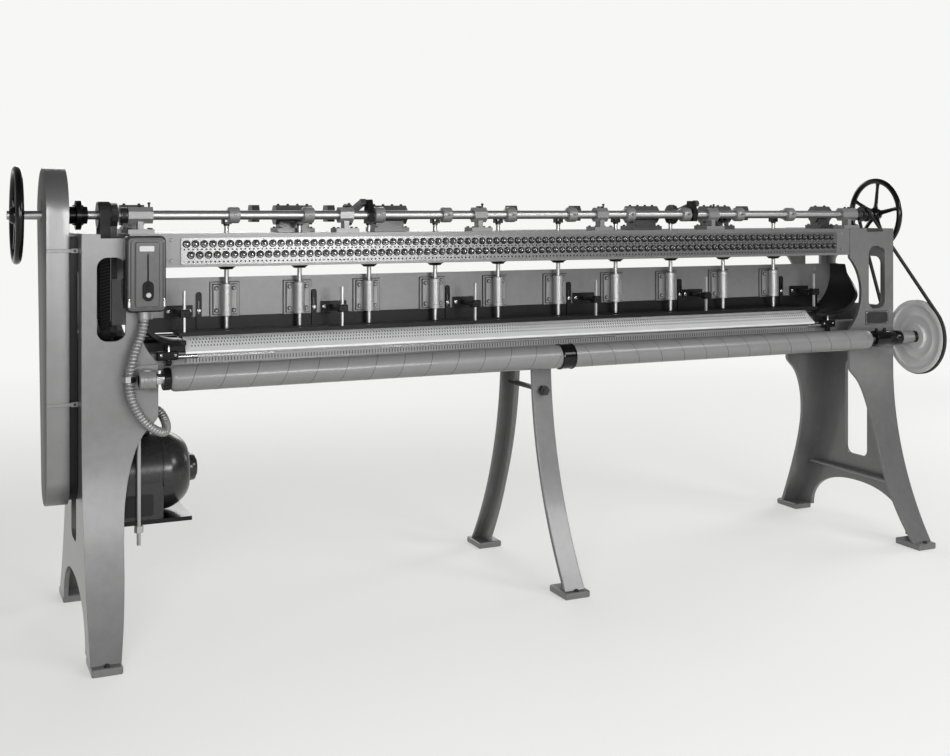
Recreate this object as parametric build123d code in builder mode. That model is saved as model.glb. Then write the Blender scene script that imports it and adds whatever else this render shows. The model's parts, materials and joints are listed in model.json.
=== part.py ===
from build123d import *
import os
from math import atan2, cos, radians, sin, sqrt, tan

os.makedirs("parts", exist_ok=True)

# Tufting machine for bedspreads, about 3.2 m wide.
# X runs along the shafts, the operator stands at -Y, Z is up and the feet stand on Z = 0.
# Places along X are counted from the middle between the two end frames.

# Overall sizes
frame_outer = 1477.0
frame_width = 210.0
plate_front = 186.0
frame_wall = 14.0
deck_top = 1163.0
foot_reach = 400.0
foot_length = 120.0
foot_height = 22.0
leg_start = 650.0
leg_end = 390.0

# Shafts
main_y = 30.0
shaft_z = 1216.0
main_radius = 13.0
rocker_y = -120.0
rocker_radius = 14.0
running_gap = 0.05
wheel_left = -1632.0
wheel_right = 1588.0
wheel_radius = 143.0
wheel_rim = 26.0
wheel_hub_length = 40.0

# The reach of the two handwheels sets the machine's middle in the part's frame.
shaft_stub = 6.0
shaft_left_end = wheel_left - wheel_hub_length / 2 - shaft_stub
shaft_right_end = wheel_right + wheel_hub_length / 2 + shaft_stub
middle_x = -(shaft_left_end + shaft_right_end) / 2

# Needle drive
needle_pitch = 230.0
needle_count = 10
needle_y = -30.0
rod_radius = 7.0
rod_bottom = 870.0
pin_radius = 5.0
eccentric_throw = 7.0
drive_arm_x = 615.0
drive_arm_reach = 40.0

# Rail, bed and roll
rail_front = -2.0
rail_thick = 12.0
rail_low = 890.0
rail_high = 1026.0
rail_end = 1368.0
guide_low = 908.0
guide_high = 1008.0
bed_end = 1172.0
roll_y = -255.0
roll_z = 757.0
roll_radius = 37.0
roll_left = -1248.0
roll_right = 1290.0
journal_radius = 15.0

# Flats on round pieces that repeat, so that their faces stay few
bore_sides = 8
barrel_sides = 12
rim_sides = 16
disc_sides = 6
bow_steps = 8

# Small gaps between pieces that move past each other
side_gap = 1.0


def facing_x(x):
    return Plane(origin=(middle_x + x, 0, 0), x_dir=(0, 1, 0), z_dir=(1, 0, 0))


def facing_y(y):
    return Plane(origin=(middle_x, y, 0), x_dir=(1, 0, 0), z_dir=(0, -1, 0))


def facing_z(z):
    return Plane(origin=(middle_x, 0, z), x_dir=(1, 0, 0), z_dir=(0, 0, 1))


def needle_places():
    return [(i - (needle_count - 1) / 2) * needle_pitch for i in range(needle_count)]


# End frames: one casting each, a web on the outer side with a front and a rear plate.
slot_near = 41.0
slot_far = 120.0
slot_low = 861.0
slot_high = 1097.0
slot_corner = 30.0
notch_near = 51.0
notch_far = 130.0
notch_depth = 12.0
throat_low = 792.0
throat_high = 1054.0
throat_width = 155.0
arch_top = 171.0
arch_reach = 262.0
pad_width = 81.0
web_opening_width = 120.0
web_opening_low = 271.0
web_opening_high = 640.0
web_opening_corner = 28.0
upper_opening_width = 180.0
upper_opening_low = 868.0
upper_opening_high = 1055.0
frame_rib_z = 210.0
frame_rib_depth = 36.0
countershaft_z = 872.0
countershaft_radius = 10.0
counter_boss_radius = 24.0
counter_boss_end = 1432.0


def bowed(start, end):
    """Points from start to end on the arc that leaves start straight down."""
    across = abs(end[0] - start[0])
    drop = start[1] - end[1]
    arc_radius = (across * across + drop * drop) / (2 * across)
    way = 1 if end[0] > start[0] else -1
    heights = [start[1] - drop * step / bow_steps for step in range(bow_steps)]
    sags = [arc_radius - sqrt(arc_radius ** 2 - (start[1] - z) ** 2) for z in heights]
    return [(start[0] + way * sag, z) for sag, z in zip(sags, heights)] + [end]


def end_frame(side):
    web_x = side * (frame_outer - frame_wall)
    inner_front = plate_front - frame_wall
    with BuildPart() as frame:
        with BuildSketch(facing_x(side * frame_outer)):
            with BuildLine():
                Line((0, deck_top), (plate_front, deck_top))
                Line((plate_front, deck_top), (plate_front, leg_start))
                Polyline(*bowed((plate_front, leg_start), (leg_end, foot_height)))
                Line((leg_end, foot_height), (arch_reach, foot_height))
                ThreePointArc(
                    (arch_reach, foot_height),
                    (arch_reach / 2, arch_top - (arch_top - foot_height) * 0.235),
                    (0, arch_top),
                )
                mirror(about=Plane.YZ)
            make_face()
        extrude(amount=-side * frame_width)
        # The hollow between the plates
        with BuildSketch(facing_x(web_x)):
            with BuildLine():
                Line((0, deck_top - frame_wall), (inner_front, deck_top - frame_wall))
                Line((inner_front, deck_top - frame_wall), (inner_front, leg_start))
                Polyline(*bowed((inner_front, leg_start), (leg_end - frame_wall - 1, foot_height)))
                Line((leg_end - frame_wall - 1, foot_height), (0, foot_height))
                mirror(about=Plane.YZ)
            make_face()
        extrude(amount=-side * frame_width, mode=Mode.SUBTRACT)
        # The plates' inner edges: the throat above and the tapering legs below
        with BuildSketch(facing_y(-500)):
            with BuildLine():
                ThreePointArc(
                    (side * (frame_outer - frame_width), throat_high),
                    (side * (frame_outer - throat_width), (throat_low + throat_high) / 2),
                    (side * (frame_outer - frame_width), throat_low),
                )
                Line(
                    (side * (frame_outer - frame_width), throat_low),
                    (side * (frame_outer - frame_width), throat_high),
                )
            make_face()
            with BuildLine():
                Polyline(
                    (side * (frame_outer - 80), foot_height),
                    (side * (frame_outer - frame_width - 1), foot_height),
                    (side * (frame_outer - frame_width - 1), 632),
                    (side * (frame_outer - frame_width), 632),
                    (side * (frame_outer - 158), 590),
                )
                ThreePointArc(
                    (side * (frame_outer - 158), 590),
                    (side * (frame_outer - 127), 495),
                    (side * (frame_outer - 112), 395),
                )
                ThreePointArc(
                    (side * (frame_outer - 112), 395),
                    (side * (frame_outer - 104), 210),
                    (side * (frame_outer - 80), foot_height),
                )
            make_face()
        extrude(amount=-1000, mode=Mode.SUBTRACT)
        # Window slot through both plates
        with BuildSketch(facing_y(-500)):
            with Locations((side * (frame_outer - (slot_near + slot_far) / 2), (slot_low + slot_high) / 2)):
                RectangleRounded(slot_far - slot_near, slot_high - slot_low, slot_corner)
        extrude(amount=-1000, mode=Mode.SUBTRACT)
        # Notch in the top, open between the plates for the belt and the looper rod
        with BuildSketch(facing_z(deck_top)):
            with Locations((side * (frame_outer - (notch_near + notch_far) / 2), 0)):
                Rectangle(notch_far - notch_near, 2 * plate_front)
        extrude(amount=-notch_depth, mode=Mode.SUBTRACT)
        with BuildSketch(facing_z(deck_top)):
            with Locations((side * (frame_outer - (notch_near + notch_far) / 2), 0)):
                Rectangle(notch_far - notch_near, 2 * inner_front)
        extrude(amount=-2 * frame_wall, mode=Mode.SUBTRACT)
        # Openings in the web
        with BuildSketch(facing_x(side * frame_outer)):
            with Locations((0, (web_opening_low + web_opening_high) / 2)):
                Rectangle(web_opening_width, web_opening_high - web_opening_low)
            with Locations((0, (upper_opening_low + upper_opening_high) / 2)):
                Rectangle(upper_opening_width, upper_opening_high - upper_opening_low)
            chamfer(vertices(), web_opening_corner)
        extrude(amount=-side * frame_wall, mode=Mode.SUBTRACT)
        # Rib between the legs, on the web
        with BuildSketch(facing_x(web_x)):
            with Locations((0, frame_rib_z)):
                Rectangle(2 * 236, 12)
        extrude(amount=-side * frame_rib_depth)
        # Foot pads
        with BuildSketch(facing_z(0)):
            with Locations(
                (side * (frame_outer - pad_width / 2), foot_reach - foot_length / 2),
                (side * (frame_outer - pad_width / 2), -foot_reach + foot_length / 2),
            ):
                Rectangle(pad_width, foot_length)
        extrude(amount=foot_height)
        if side < 0:
            # Boss for the short lower belt shaft
            with BuildSketch(facing_x(side * frame_outer)):
                with Locations((main_y, countershaft_z)):
                    RegularPolygon(counter_boss_radius, barrel_sides)
            extrude(amount=frame_outer - counter_boss_end)
            with BuildSketch(facing_x(side * frame_outer)):
                with Locations((main_y, countershaft_z)):
                    RegularPolygon(countershaft_radius + running_gap, bore_sides, major_radius=False)
            extrude(amount=frame_outer - counter_boss_end, mode=Mode.SUBTRACT)
    return frame


left_end_frame = end_frame(-1)
left_end_frame.part.label = "left_end_frame"
export_step(left_end_frame.part, "parts/left_end_frame.step")

right_end_frame = end_frame(1)
right_end_frame.part.label = "right_end_frame"
export_step(right_end_frame.part, "parts/right_end_frame.step")

# Middle legs: curved T-section castings, front and rear, bolted under the bed
middle_leg_x = 8.0
leg_width = 75.0
leg_wall = 14.0
leg_rib = 46.0
trough_low = 765.0
front_leg_top_y = -110.0
rear_leg_top_y = 130.0
front_leg_foot_y = -358.0
rear_leg_foot_y = 398.0
middle_pad_length = 110.0
middle_pad_width = 90.0
leg_toe = 20.0
tie_rod_z = 630.0
tie_rod_radius = 9.0
tie_nut_radius = 17.0
tie_nut_length = 18.0
tie_nut_gap = 3.0
tie_end = 8.0


def leg_face_y(top_y, foot_y, z):
    """Place along Y of a middle leg's outer face at height z."""
    way = 1 if foot_y > top_y else -1
    points = bowed((top_y, trough_low), (foot_y - way * leg_toe, foot_height))
    for (y_one, z_one), (y_two, z_two) in zip(points, points[1:]):
        if z_two <= z <= z_one:
            return y_one + (y_two - y_one) * (z_one - z) / (z_one - z_two)
    return top_y


def middle_leg(top_y, foot_y):
    way = 1 if foot_y > top_y else -1
    heel_y = foot_y - way * middle_pad_length
    foot_face = (foot_y - way * leg_toe, foot_height)
    foot_back = (foot_y - way * (leg_toe + leg_wall), foot_height)
    wall_top = (top_y - way * leg_wall, trough_low)
    rib_top = (top_y - way * (leg_wall + leg_rib), trough_low)
    rib_foot = (heel_y + way * 8, foot_height)
    with BuildPart() as leg:
        with BuildSketch(facing_x(middle_leg_x - leg_width / 2)):
            with BuildLine():
                Polyline(*bowed((top_y, trough_low), foot_face))
                Line(foot_face, foot_back)
                Polyline(*bowed(wall_top, foot_back))
                Line(wall_top, (top_y, trough_low))
            make_face()
        extrude(amount=leg_width)
        with BuildSketch(facing_x(middle_leg_x - leg_wall / 2)):
            with BuildLine():
                Polyline(*bowed(wall_top, foot_back))
                Line(foot_back, rib_foot)
                Polyline(*bowed(rib_top, rib_foot))
                Line(rib_top, wall_top)
            make_face()
        extrude(amount=leg_wall)
        with BuildSketch(facing_z(0)):
            with Locations((middle_leg_x, foot_y - way * middle_pad_length / 2)):
                Rectangle(middle_pad_width, middle_pad_length)
        extrude(amount=foot_height)
        with BuildSketch(facing_z(trough_low)):
            with Locations((middle_leg_x, top_y - way * (leg_wall + leg_rib) / 2)):
                Rectangle(leg_width, leg_wall + leg_rib)
        extrude(amount=-leg_wall)
        # Hole for the tie rod
        with BuildSketch(facing_y(600)):
            with Locations((middle_leg_x, tie_rod_z)):
                RegularPolygon(tie_rod_radius + running_gap, 8, major_radius=False)
        extrude(amount=1200, mode=Mode.SUBTRACT)
    return leg


middle_leg_front = middle_leg(front_leg_top_y, front_leg_foot_y)
middle_leg_front.part.label = "middle_leg_front"
export_step(middle_leg_front.part, "parts/middle_leg_front.step")

middle_leg_rear = middle_leg(rear_leg_top_y, rear_leg_foot_y)
middle_leg_rear.part.label = "middle_leg_rear"
export_step(middle_leg_rear.part, "parts/middle_leg_rear.step")

# Tie rod between the middle legs, with a nut outside each of them
tie_front_y = leg_face_y(front_leg_top_y, front_leg_foot_y, tie_rod_z)
tie_rear_y = leg_face_y(rear_leg_top_y, rear_leg_foot_y, tie_rod_z)


with BuildPart() as leg_tie_rod:
    with BuildSketch(facing_y(tie_rear_y + tie_nut_length + tie_end)):
        with Locations((middle_leg_x, tie_rod_z)):
            RegularPolygon(tie_rod_radius, 8)
    extrude(amount=tie_rear_y - tie_front_y + 2 * tie_nut_length + 2 * tie_end)
    with BuildSketch(facing_y(tie_rear_y + tie_nut_length + tie_nut_gap)):
        with Locations((middle_leg_x, tie_rod_z)):
            RegularPolygon(tie_nut_radius, 6)
    extrude(amount=tie_nut_length)
    with BuildSketch(facing_y(tie_front_y - tie_nut_gap)):
        with Locations((middle_leg_x, tie_rod_z)):
            RegularPolygon(tie_nut_radius, 6)
    extrude(amount=tie_nut_length)
leg_tie_rod.part.label = "leg_tie_rod"
export_step(leg_tie_rod.part, "parts/leg_tie_rod.step")

# Head beam: an open box casting between the frames, with windows for the push rods
beam_end = frame_outer - frame_width
beam_front = -182.0
beam_rear = 95.0
beam_wall = 14.0
beam_low = 1066.0
beam_lip = 12.0
beam_lip_thick = 8.0
beam_lip_end = 1250.0
rod_window = 30.0

with BuildPart() as head_beam:
    with BuildSketch(facing_x(-beam_end)):
        with BuildLine():
            Polyline(
                (beam_front - beam_lip, beam_low),
                (beam_front + beam_wall, beam_low),
                (beam_front + beam_wall, deck_top - beam_wall),
                (beam_rear - beam_wall, deck_top - beam_wall),
                (beam_rear - beam_wall, beam_low),
                (beam_rear, beam_low),
                (beam_rear, deck_top),
                (beam_front, deck_top),
                (beam_front, beam_low + beam_lip_thick),
                (beam_front - beam_lip, beam_low + beam_lip_thick),
                close=True,
            )
        make_face()
    extrude(amount=2 * beam_end)
    with BuildSketch(facing_z(deck_top)):
        with Locations((0, needle_y)):
            with GridLocations(needle_pitch, 1, needle_count, 1):
                Rectangle(rod_window, rod_window)
    extrude(amount=-beam_wall, mode=Mode.SUBTRACT)
    with BuildSketch(facing_z(beam_low)):
        lip_mid_x = (beam_end + beam_lip_end) / 2
        lip_mid_y = beam_front - beam_lip / 2
        with Locations((lip_mid_x, lip_mid_y), (-lip_mid_x, lip_mid_y)):
            Rectangle(beam_end - beam_lip_end, beam_lip)
    extrude(amount=beam_lip_thick, mode=Mode.SUBTRACT)
head_beam.part.label = "head_beam"
export_step(head_beam.part, "parts/head_beam.step")

# Thread tension board with two rows of tension discs
board_end = 1203.0
board_low = 1074.0
board_high = 1150.0
board_thick = 5.0
disc_radius = 11.0
disc_height = 7.0
disc_pitch = 25.4
disc_count = 94
cone_sides = 4
upper_disc_z = 1133.0
lower_disc_z = 1101.0
board_front = beam_front - board_thick

with BuildPart() as tension_plate:
    with BuildSketch(facing_y(beam_front)):
        with Locations((0, (board_low + board_high) / 2)):
            Rectangle(2 * board_end, board_high - board_low)
    extrude(amount=board_thick)
tension_plate.part.label = "tension_plate"
export_step(tension_plate.part, "parts/tension_plate.step")

with BuildPart() as tension_disc:
    with BuildSketch(Plane.XZ) as disc_rim:
        RegularPolygon(disc_radius, cone_sides)
    loft([disc_rim.sketch.faces()[0], Vertex(0, -disc_height, 0)])

with BuildPart() as tension_discs:
    with Locations(facing_y(board_front)):
        with Locations((-disc_pitch / 4, upper_disc_z), (disc_pitch / 4, lower_disc_z)):
            with GridLocations(disc_pitch, 1, disc_count, 1):
                add(tension_disc.part, rotation=(-90, 0, 0))
tension_discs.part.label = "tension_discs"
export_step(tension_discs.part, "parts/tension_discs.step")

# Guide rail with the dark strip under it
strip_thick = 10.0
strip_low = 862.0

with BuildPart() as guide_rail:
    with BuildSketch(facing_y(rail_front + rail_thick)):
        with Locations((0, (rail_low + rail_high) / 2)):
            Rectangle(2 * rail_end, rail_high - rail_low)
    extrude(amount=rail_thick)
guide_rail.part.label = "guide_rail"
export_step(guide_rail.part, "parts/guide_rail.step")

with BuildPart() as rail_strip:
    with BuildSketch(facing_y(rail_front + strip_thick)):
        with Locations((0, (strip_low + rail_low) / 2)):
            Rectangle(2 * beam_end, rail_low - strip_low)
    extrude(amount=strip_thick)
rail_strip.part.label = "rail_strip"
export_step(rail_strip.part, "parts/rail_strip.step")

# Push rod guides: a barrel on a flange and a backing plate, bolted to the rail
barrel_radius = 17.0
backing_width = 90.0
backing_height = 105.0
flange_thick = 11.0
guide_mid = (guide_low + guide_high) / 2
rod_sides = 6

with BuildPart() as push_rod_guides:
    with BuildSketch(facing_y(rail_front)):
        with Locations((0, guide_mid)):
            with GridLocations(needle_pitch, 1, needle_count, 1):
                Rectangle(backing_width, backing_height)
    extrude(amount=flange_thick)
    with BuildSketch(facing_z(guide_low)):
        with Locations((0, needle_y)):
            with GridLocations(needle_pitch, 1, needle_count, 1):
                RegularPolygon(barrel_radius + 0.5, disc_sides, major_radius=False, rotation=30)
    extrude(amount=guide_high - guide_low)
    with BuildSketch(facing_z(guide_low)):
        with Locations((0, needle_y)):
            with GridLocations(needle_pitch, 1, needle_count, 1):
                RegularPolygon(rod_radius + running_gap, disc_sides, major_radius=False)
    extrude(amount=guide_high - guide_low, mode=Mode.SUBTRACT)
push_rod_guides.part.label = "push_rod_guides"
export_step(push_rod_guides.part, "parts/push_rod_guides.step")

# Slotted setting bars on the rail, one left of the first guide and one beside every second guide
setting_bar_width = 16.0
setting_bar_thick = 8.0
setting_bar_low = 868.0
setting_bar_high = 974.0
setting_bar_offset = backing_width / 2 + setting_bar_width / 2 + 1.5
first_setting_bar = -1114.0
setting_bar_x = [first_setting_bar] + [x + setting_bar_offset for x in needle_places()[1::2]]
setting_slot_low = 915.0
setting_slot_high = 955.0
setting_slot_width = 6.0

with BuildPart() as slotted_bars:
    with BuildSketch(facing_y(rail_front)):
        for bar_x in setting_bar_x:
            with Locations((bar_x, (setting_bar_low + setting_bar_high) / 2)):
                Rectangle(setting_bar_width, setting_bar_high - setting_bar_low)
            with Locations((bar_x, (setting_slot_low + setting_slot_high) / 2)):
                Rectangle(setting_slot_width, setting_slot_high - setting_slot_low, mode=Mode.SUBTRACT)
    extrude(amount=setting_bar_thick)
slotted_bars.part.label = "slotted_bars"
export_step(slotted_bars.part, "parts/slotted_bars.step")

# Presser: six rods in brackets on the rail, with the presser bar on their lower ends
presser_y = -92.0
presser_radius = 5.0
presser_sides = 6
presser_x = [-1175.0, -685.8, -228.6, 228.6, 685.8, 1175.0]
presser_top = 992.0
presser_bar_end = 1190.0
presser_bar_low = 858.0
presser_bar_high = 870.0
presser_bar_depth = 14.0
bracket_width = 84.0
bracket_low = 908.0
bracket_high = 943.0
bracket_plate = 8.0
bracket_arm_width = 26.0
bracket_arm_height = 14.0

with BuildPart() as presser_rods:
    with BuildSketch(facing_z(presser_bar_high)):
        for rod_x in presser_x:
            with Locations((rod_x, presser_y)):
                RegularPolygon(presser_radius, presser_sides)
    extrude(amount=presser_top - presser_bar_high)
presser_rods.part.label = "presser_rods"
export_step(presser_rods.part, "parts/presser_rods.step")

with BuildPart() as presser_bar:
    with BuildSketch(facing_z(presser_bar_low)):
        with Locations((0, presser_y)):
            Rectangle(2 * presser_bar_end, presser_bar_depth)
    extrude(amount=presser_bar_high - presser_bar_low)
presser_bar.part.label = "presser_bar"
export_step(presser_bar.part, "parts/presser_bar.step")

with BuildPart() as presser_brackets:
    with BuildSketch(facing_y(rail_front)):
        for rod_x in presser_x:
            with Locations((rod_x, (bracket_low + bracket_high) / 2)):
                Rectangle(bracket_width, bracket_high - bracket_low)
    extrude(amount=bracket_plate)
    with BuildSketch(facing_z((bracket_low + bracket_high - bracket_arm_height) / 2)):
        for rod_x in presser_x:
            with Locations((rod_x, (presser_y - bracket_arm_width / 2 + rail_front) / 2)):
                Rectangle(bracket_arm_width, rail_front - presser_y + bracket_arm_width / 2)
    extrude(amount=bracket_arm_height)
    with BuildSketch(facing_z(bracket_low)):
        for rod_x in presser_x:
            with Locations((rod_x, presser_y)):
                RegularPolygon(presser_radius + running_gap, presser_sides, major_radius=False)
    extrude(amount=bracket_high - bracket_low, mode=Mode.SUBTRACT)
presser_brackets.part.label = "presser_brackets"
export_step(presser_brackets.part, "parts/presser_brackets.step")

# Bed: an open trough between the frames, which carries the needle plate and holds the loopers
trough_front = -96.0
trough_rear = 120.0
trough_wall = 8.0
trough_rear_top = 848.0
trough_end = frame_outer - frame_wall
plate_top_y = -45.0
plate_top_z = 853.0
plate_low_y = -100.0
plate_low_z = 812.3
plate_thick = 5.0
plate_slope = (plate_top_z - plate_low_z) / (plate_top_y - plate_low_y)
plate_drop = plate_thick * sqrt(1 + plate_slope ** 2)


def plate_under(y):
    """Height of the needle plate's underside at y."""
    return plate_top_z + (y - plate_top_y) * plate_slope - plate_drop


with BuildPart() as bed_trough:
    with BuildSketch(facing_x(-trough_end)):
        with BuildLine():
            Polyline(
                (trough_front, trough_low),
                (trough_rear, trough_low),
                (trough_rear, trough_rear_top),
                (trough_rear - trough_wall, trough_rear_top),
                (trough_rear - trough_wall, trough_low + trough_wall),
                (trough_front + trough_wall, trough_low + trough_wall),
                (trough_front + trough_wall, plate_under(trough_front + trough_wall)),
                (trough_front, plate_under(trough_front)),
                close=True,
            )
        make_face()
    extrude(amount=2 * trough_end)
bed_trough.part.label = "bed_trough"
export_step(bed_trough.part, "parts/bed_trough.step")

with BuildPart() as needle_plate:
    with BuildSketch(facing_x(-bed_end)):
        with BuildLine():
            Polyline(
                (plate_low_y, plate_low_z),
                (plate_top_y, plate_top_z),
                (plate_top_y, plate_top_z - plate_drop),
                (plate_low_y, plate_low_z - plate_drop),
                close=True,
            )
        make_face()
    extrude(amount=2 * bed_end)
needle_plate.part.label = "needle_plate"
export_step(needle_plate.part, "parts/needle_plate.step")

# Lower comb strip on the trough's front wall, with the cloth guide rail below it
comb_height = 26.0
comb_thick = 4.0
comb_high = plate_under(trough_front) - 4
cloth_rail_top = 776.0
cloth_rail_depth = 34.0
cloth_rail_height = 11.0

with BuildPart() as lower_comb:
    with BuildSketch(facing_y(trough_front)):
        with Locations((0, comb_high - comb_height / 2)):
            Rectangle(2 * bed_end, comb_height)
    extrude(amount=comb_thick)
lower_comb.part.label = "lower_comb"
export_step(lower_comb.part, "parts/lower_comb.step")

with BuildPart() as cloth_guide_rail:
    with BuildSketch(facing_z(cloth_rail_top)):
        with Locations((0, trough_front - cloth_rail_depth / 2)):
            Rectangle(2 * beam_end, cloth_rail_depth)
    extrude(amount=-cloth_rail_height)
cloth_guide_rail.part.label = "cloth_guide_rail"
export_step(cloth_guide_rail.part, "parts/cloth_guide_rail.step")

# Bed brackets: dark curved castings from the bed up behind the frames' front plates
bracket_wall = 14.0
bracket_lead = 10.0
bracket_lap = 22.0
bracket_inner = bed_end + bracket_lead
bracket_outer = frame_outer - throat_width + bracket_lap - bracket_wall
bracket_flat_z = 846.0
bracket_curve = bracket_outer - bracket_inner
bracket_front = -plate_front + frame_wall
bracket_foot = bed_end


def quarter(side, curve_radius):
    """Points of a quarter turn from the bracket's flat foot up to its upright end."""
    turns = [radians(90 * step / bow_steps) for step in range(bow_steps + 1)]
    centre_z = bracket_flat_z + bracket_curve
    return [
        (side * (bracket_inner + curve_radius * sin(turn)), centre_z - curve_radius * cos(turn))
        for turn in turns
    ]


def bed_bracket(side):
    with BuildPart() as bracket:
        with BuildSketch(facing_y(rail_front)):
            with BuildLine():
                Polyline(
                    (side * bracket_foot, bracket_flat_z - bracket_wall),
                    (side * bracket_foot, bracket_flat_z),
                    *quarter(side, bracket_curve),
                    (side * bracket_outer, rail_high),
                    (side * (bracket_outer + bracket_wall), rail_high),
                    *reversed(quarter(side, bracket_curve + bracket_wall)),
                    close=True,
                )
            make_face()
        extrude(amount=rail_front - bracket_front)
        # Foot down to the trough's front wall
        with BuildSketch(facing_x(side * bracket_foot)):
            with BuildLine():
                Polyline(
                    (trough_front, plate_under(trough_front)),
                    (trough_front + trough_wall, plate_under(trough_front + trough_wall)),
                    (trough_front + trough_wall, bracket_flat_z - bracket_wall),
                    (trough_front, bracket_flat_z - bracket_wall),
                    close=True,
                )
            make_face()
        extrude(amount=side * 60)
    return bracket


left_bed_bracket = bed_bracket(-1)
left_bed_bracket.part.label = "left_bed_bracket"
export_step(left_bed_bracket.part, "parts/left_bed_bracket.step")

right_bed_bracket = bed_bracket(1)
right_bed_bracket.part.label = "right_bed_bracket"
export_step(right_bed_bracket.part, "parts/right_bed_bracket.step")

# Rocker pedestals on the deck, each with a cap over the rocker shaft
pedestal_x = [-1308.0, -685.8, -228.6, 228.6, 685.8, 1308.0]
pedestal_widths = [70.0, 44.0, 44.0, 44.0, 44.0, 70.0]
pedestal_foot_width = 74.0
pedestal_foot_depth = 60.0
pedestal_foot_height = 12.0
pedestal_column = 16.0
pedestal_column_depth = 34.0
bearing_radius = 24.0
rocker_bore = rocker_radius + running_gap

with BuildPart() as rocker_pedestals:
    with BuildSketch(facing_z(deck_top)):
        for place_x in pedestal_x:
            with Locations((place_x, rocker_y)):
                Rectangle(pedestal_foot_width, pedestal_foot_depth)
    extrude(amount=pedestal_foot_height)
    with BuildSketch(facing_z(deck_top + pedestal_foot_height)):
        for place_x in pedestal_x:
            with Locations((place_x, rocker_y)):
                Rectangle(pedestal_column, pedestal_column_depth)
    extrude(amount=shaft_z - rocker_radius - deck_top - pedestal_foot_height - 4)
    for place_x, barrel_width in zip(pedestal_x, pedestal_widths):
        with BuildSketch(facing_x(place_x - barrel_width / 2)):
            with Locations((rocker_y, shaft_z)):
                RegularPolygon(bearing_radius, bore_sides, major_radius=False, rotation=22.5)
            with Locations((rocker_y, shaft_z + bearing_radius)):
                Rectangle(4 * bearing_radius, 2 * bearing_radius, mode=Mode.SUBTRACT)
        extrude(amount=barrel_width)
    with BuildSketch(facing_x(-frame_outer)):
        with Locations((rocker_y, shaft_z)):
            RegularPolygon(rocker_bore, bore_sides, major_radius=False, rotation=22.5)
    extrude(amount=2 * frame_outer, mode=Mode.SUBTRACT)
rocker_pedestals.part.label = "rocker_pedestals"
export_step(rocker_pedestals.part, "parts/rocker_pedestals.step")

with BuildPart() as rocker_caps:
    for place_x, barrel_width in zip(pedestal_x, pedestal_widths):
        with BuildSketch(facing_x(place_x - barrel_width / 2)):
            with Locations((rocker_y, shaft_z)):
                RegularPolygon(bearing_radius, bore_sides, major_radius=False, rotation=22.5)
            with Locations((rocker_y, shaft_z - bearing_radius)):
                Rectangle(4 * bearing_radius, 2 * bearing_radius, mode=Mode.SUBTRACT)
            with Locations((rocker_y, shaft_z)):
                RegularPolygon(
                    rocker_bore, bore_sides, major_radius=False, rotation=22.5, mode=Mode.SUBTRACT
                )
        extrude(amount=barrel_width)
rocker_caps.part.label = "rocker_caps"
export_step(rocker_caps.part, "parts/rocker_caps.step")

# Main shaft housings: a long barrel on a flat foot, with webs between them
housing_x = [-1308.0, -810.0, -489.0, 489.0, 810.0, 1308.0]
housing_widths = [70.0, 120.0, 120.0, 120.0, 120.0, 70.0]
housing_radius = 33.0
housing_foot_depth = 88.0
housing_foot_height = 12.0
housing_web = 46.0

with BuildPart() as main_shaft_housings:
    with BuildSketch(facing_z(deck_top)):
        for place_x, barrel_width in zip(housing_x, housing_widths):
            with Locations((place_x, main_y)):
                Rectangle(barrel_width, housing_foot_depth)
    extrude(amount=housing_foot_height)
    with BuildSketch(facing_z(deck_top + housing_foot_height)):
        for place_x, barrel_width in zip(housing_x, housing_widths):
            with Locations((place_x, main_y)):
                Rectangle(barrel_width * 0.8, housing_web)
    extrude(amount=shaft_z - main_radius - deck_top - housing_foot_height - 6)
    for place_x, barrel_width in zip(housing_x, housing_widths):
        with BuildSketch(facing_x(place_x - barrel_width / 2)):
            with Locations((main_y, shaft_z)):
                RegularPolygon(housing_radius, bore_sides, rotation=22.5)
        extrude(amount=barrel_width)
    with BuildSketch(facing_x(-frame_outer)):
        with Locations((main_y, shaft_z)):
            RegularPolygon(main_radius + running_gap, bore_sides, major_radius=False)
    extrude(amount=2 * frame_outer, mode=Mode.SUBTRACT)
main_shaft_housings.part.label = "main_shaft_housings"
export_step(main_shaft_housings.part, "parts/main_shaft_housings.step")

# Belt guard: a sheet shell beside the left frame, round at both ends and open towards the frame
guard_outer = 1564.0
guard_inner = 1501.0
guard_wall = 3.0
guard_high_radius = 138.0
guard_low_radius = 76.0
guard_hole_width = 34.0
guard_hole_height = 94.0
motor_y = -40.0
motor_z = 460.0

with BuildPart() as belt_guard:
    with BuildSketch(facing_x(-guard_outer)):
        with Locations((main_y, shaft_z)):
            RegularPolygon(guard_high_radius, 2 * barrel_sides)
        with Locations((motor_y, motor_z)):
            RegularPolygon(guard_low_radius, 2 * barrel_sides)
        make_hull()
    extrude(amount=guard_outer - guard_inner)
    with BuildSketch(facing_x(-guard_outer + guard_wall)):
        with Locations((main_y, shaft_z)):
            RegularPolygon(guard_high_radius - guard_wall, 2 * barrel_sides)
        with Locations((motor_y, motor_z)):
            RegularPolygon(guard_low_radius - guard_wall, 2 * barrel_sides)
        make_hull()
    extrude(amount=guard_outer - guard_inner, mode=Mode.SUBTRACT)
    with BuildSketch(facing_x(-guard_outer)):
        with Locations((main_y, shaft_z)):
            Rectangle(guard_hole_width, guard_hole_height)
        chamfer(vertices(), guard_hole_width / 4)
    extrude(amount=guard_wall, mode=Mode.SUBTRACT)
belt_guard.part.label = "belt_guard"
export_step(belt_guard.part, "parts/belt_guard.step")

# Straps from the frame's web to the guard's front band
strap_width = 30.0
strap_thick = 6.0
strap_z = [1115.0, 680.0]
strap_tail = 60.0


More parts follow.
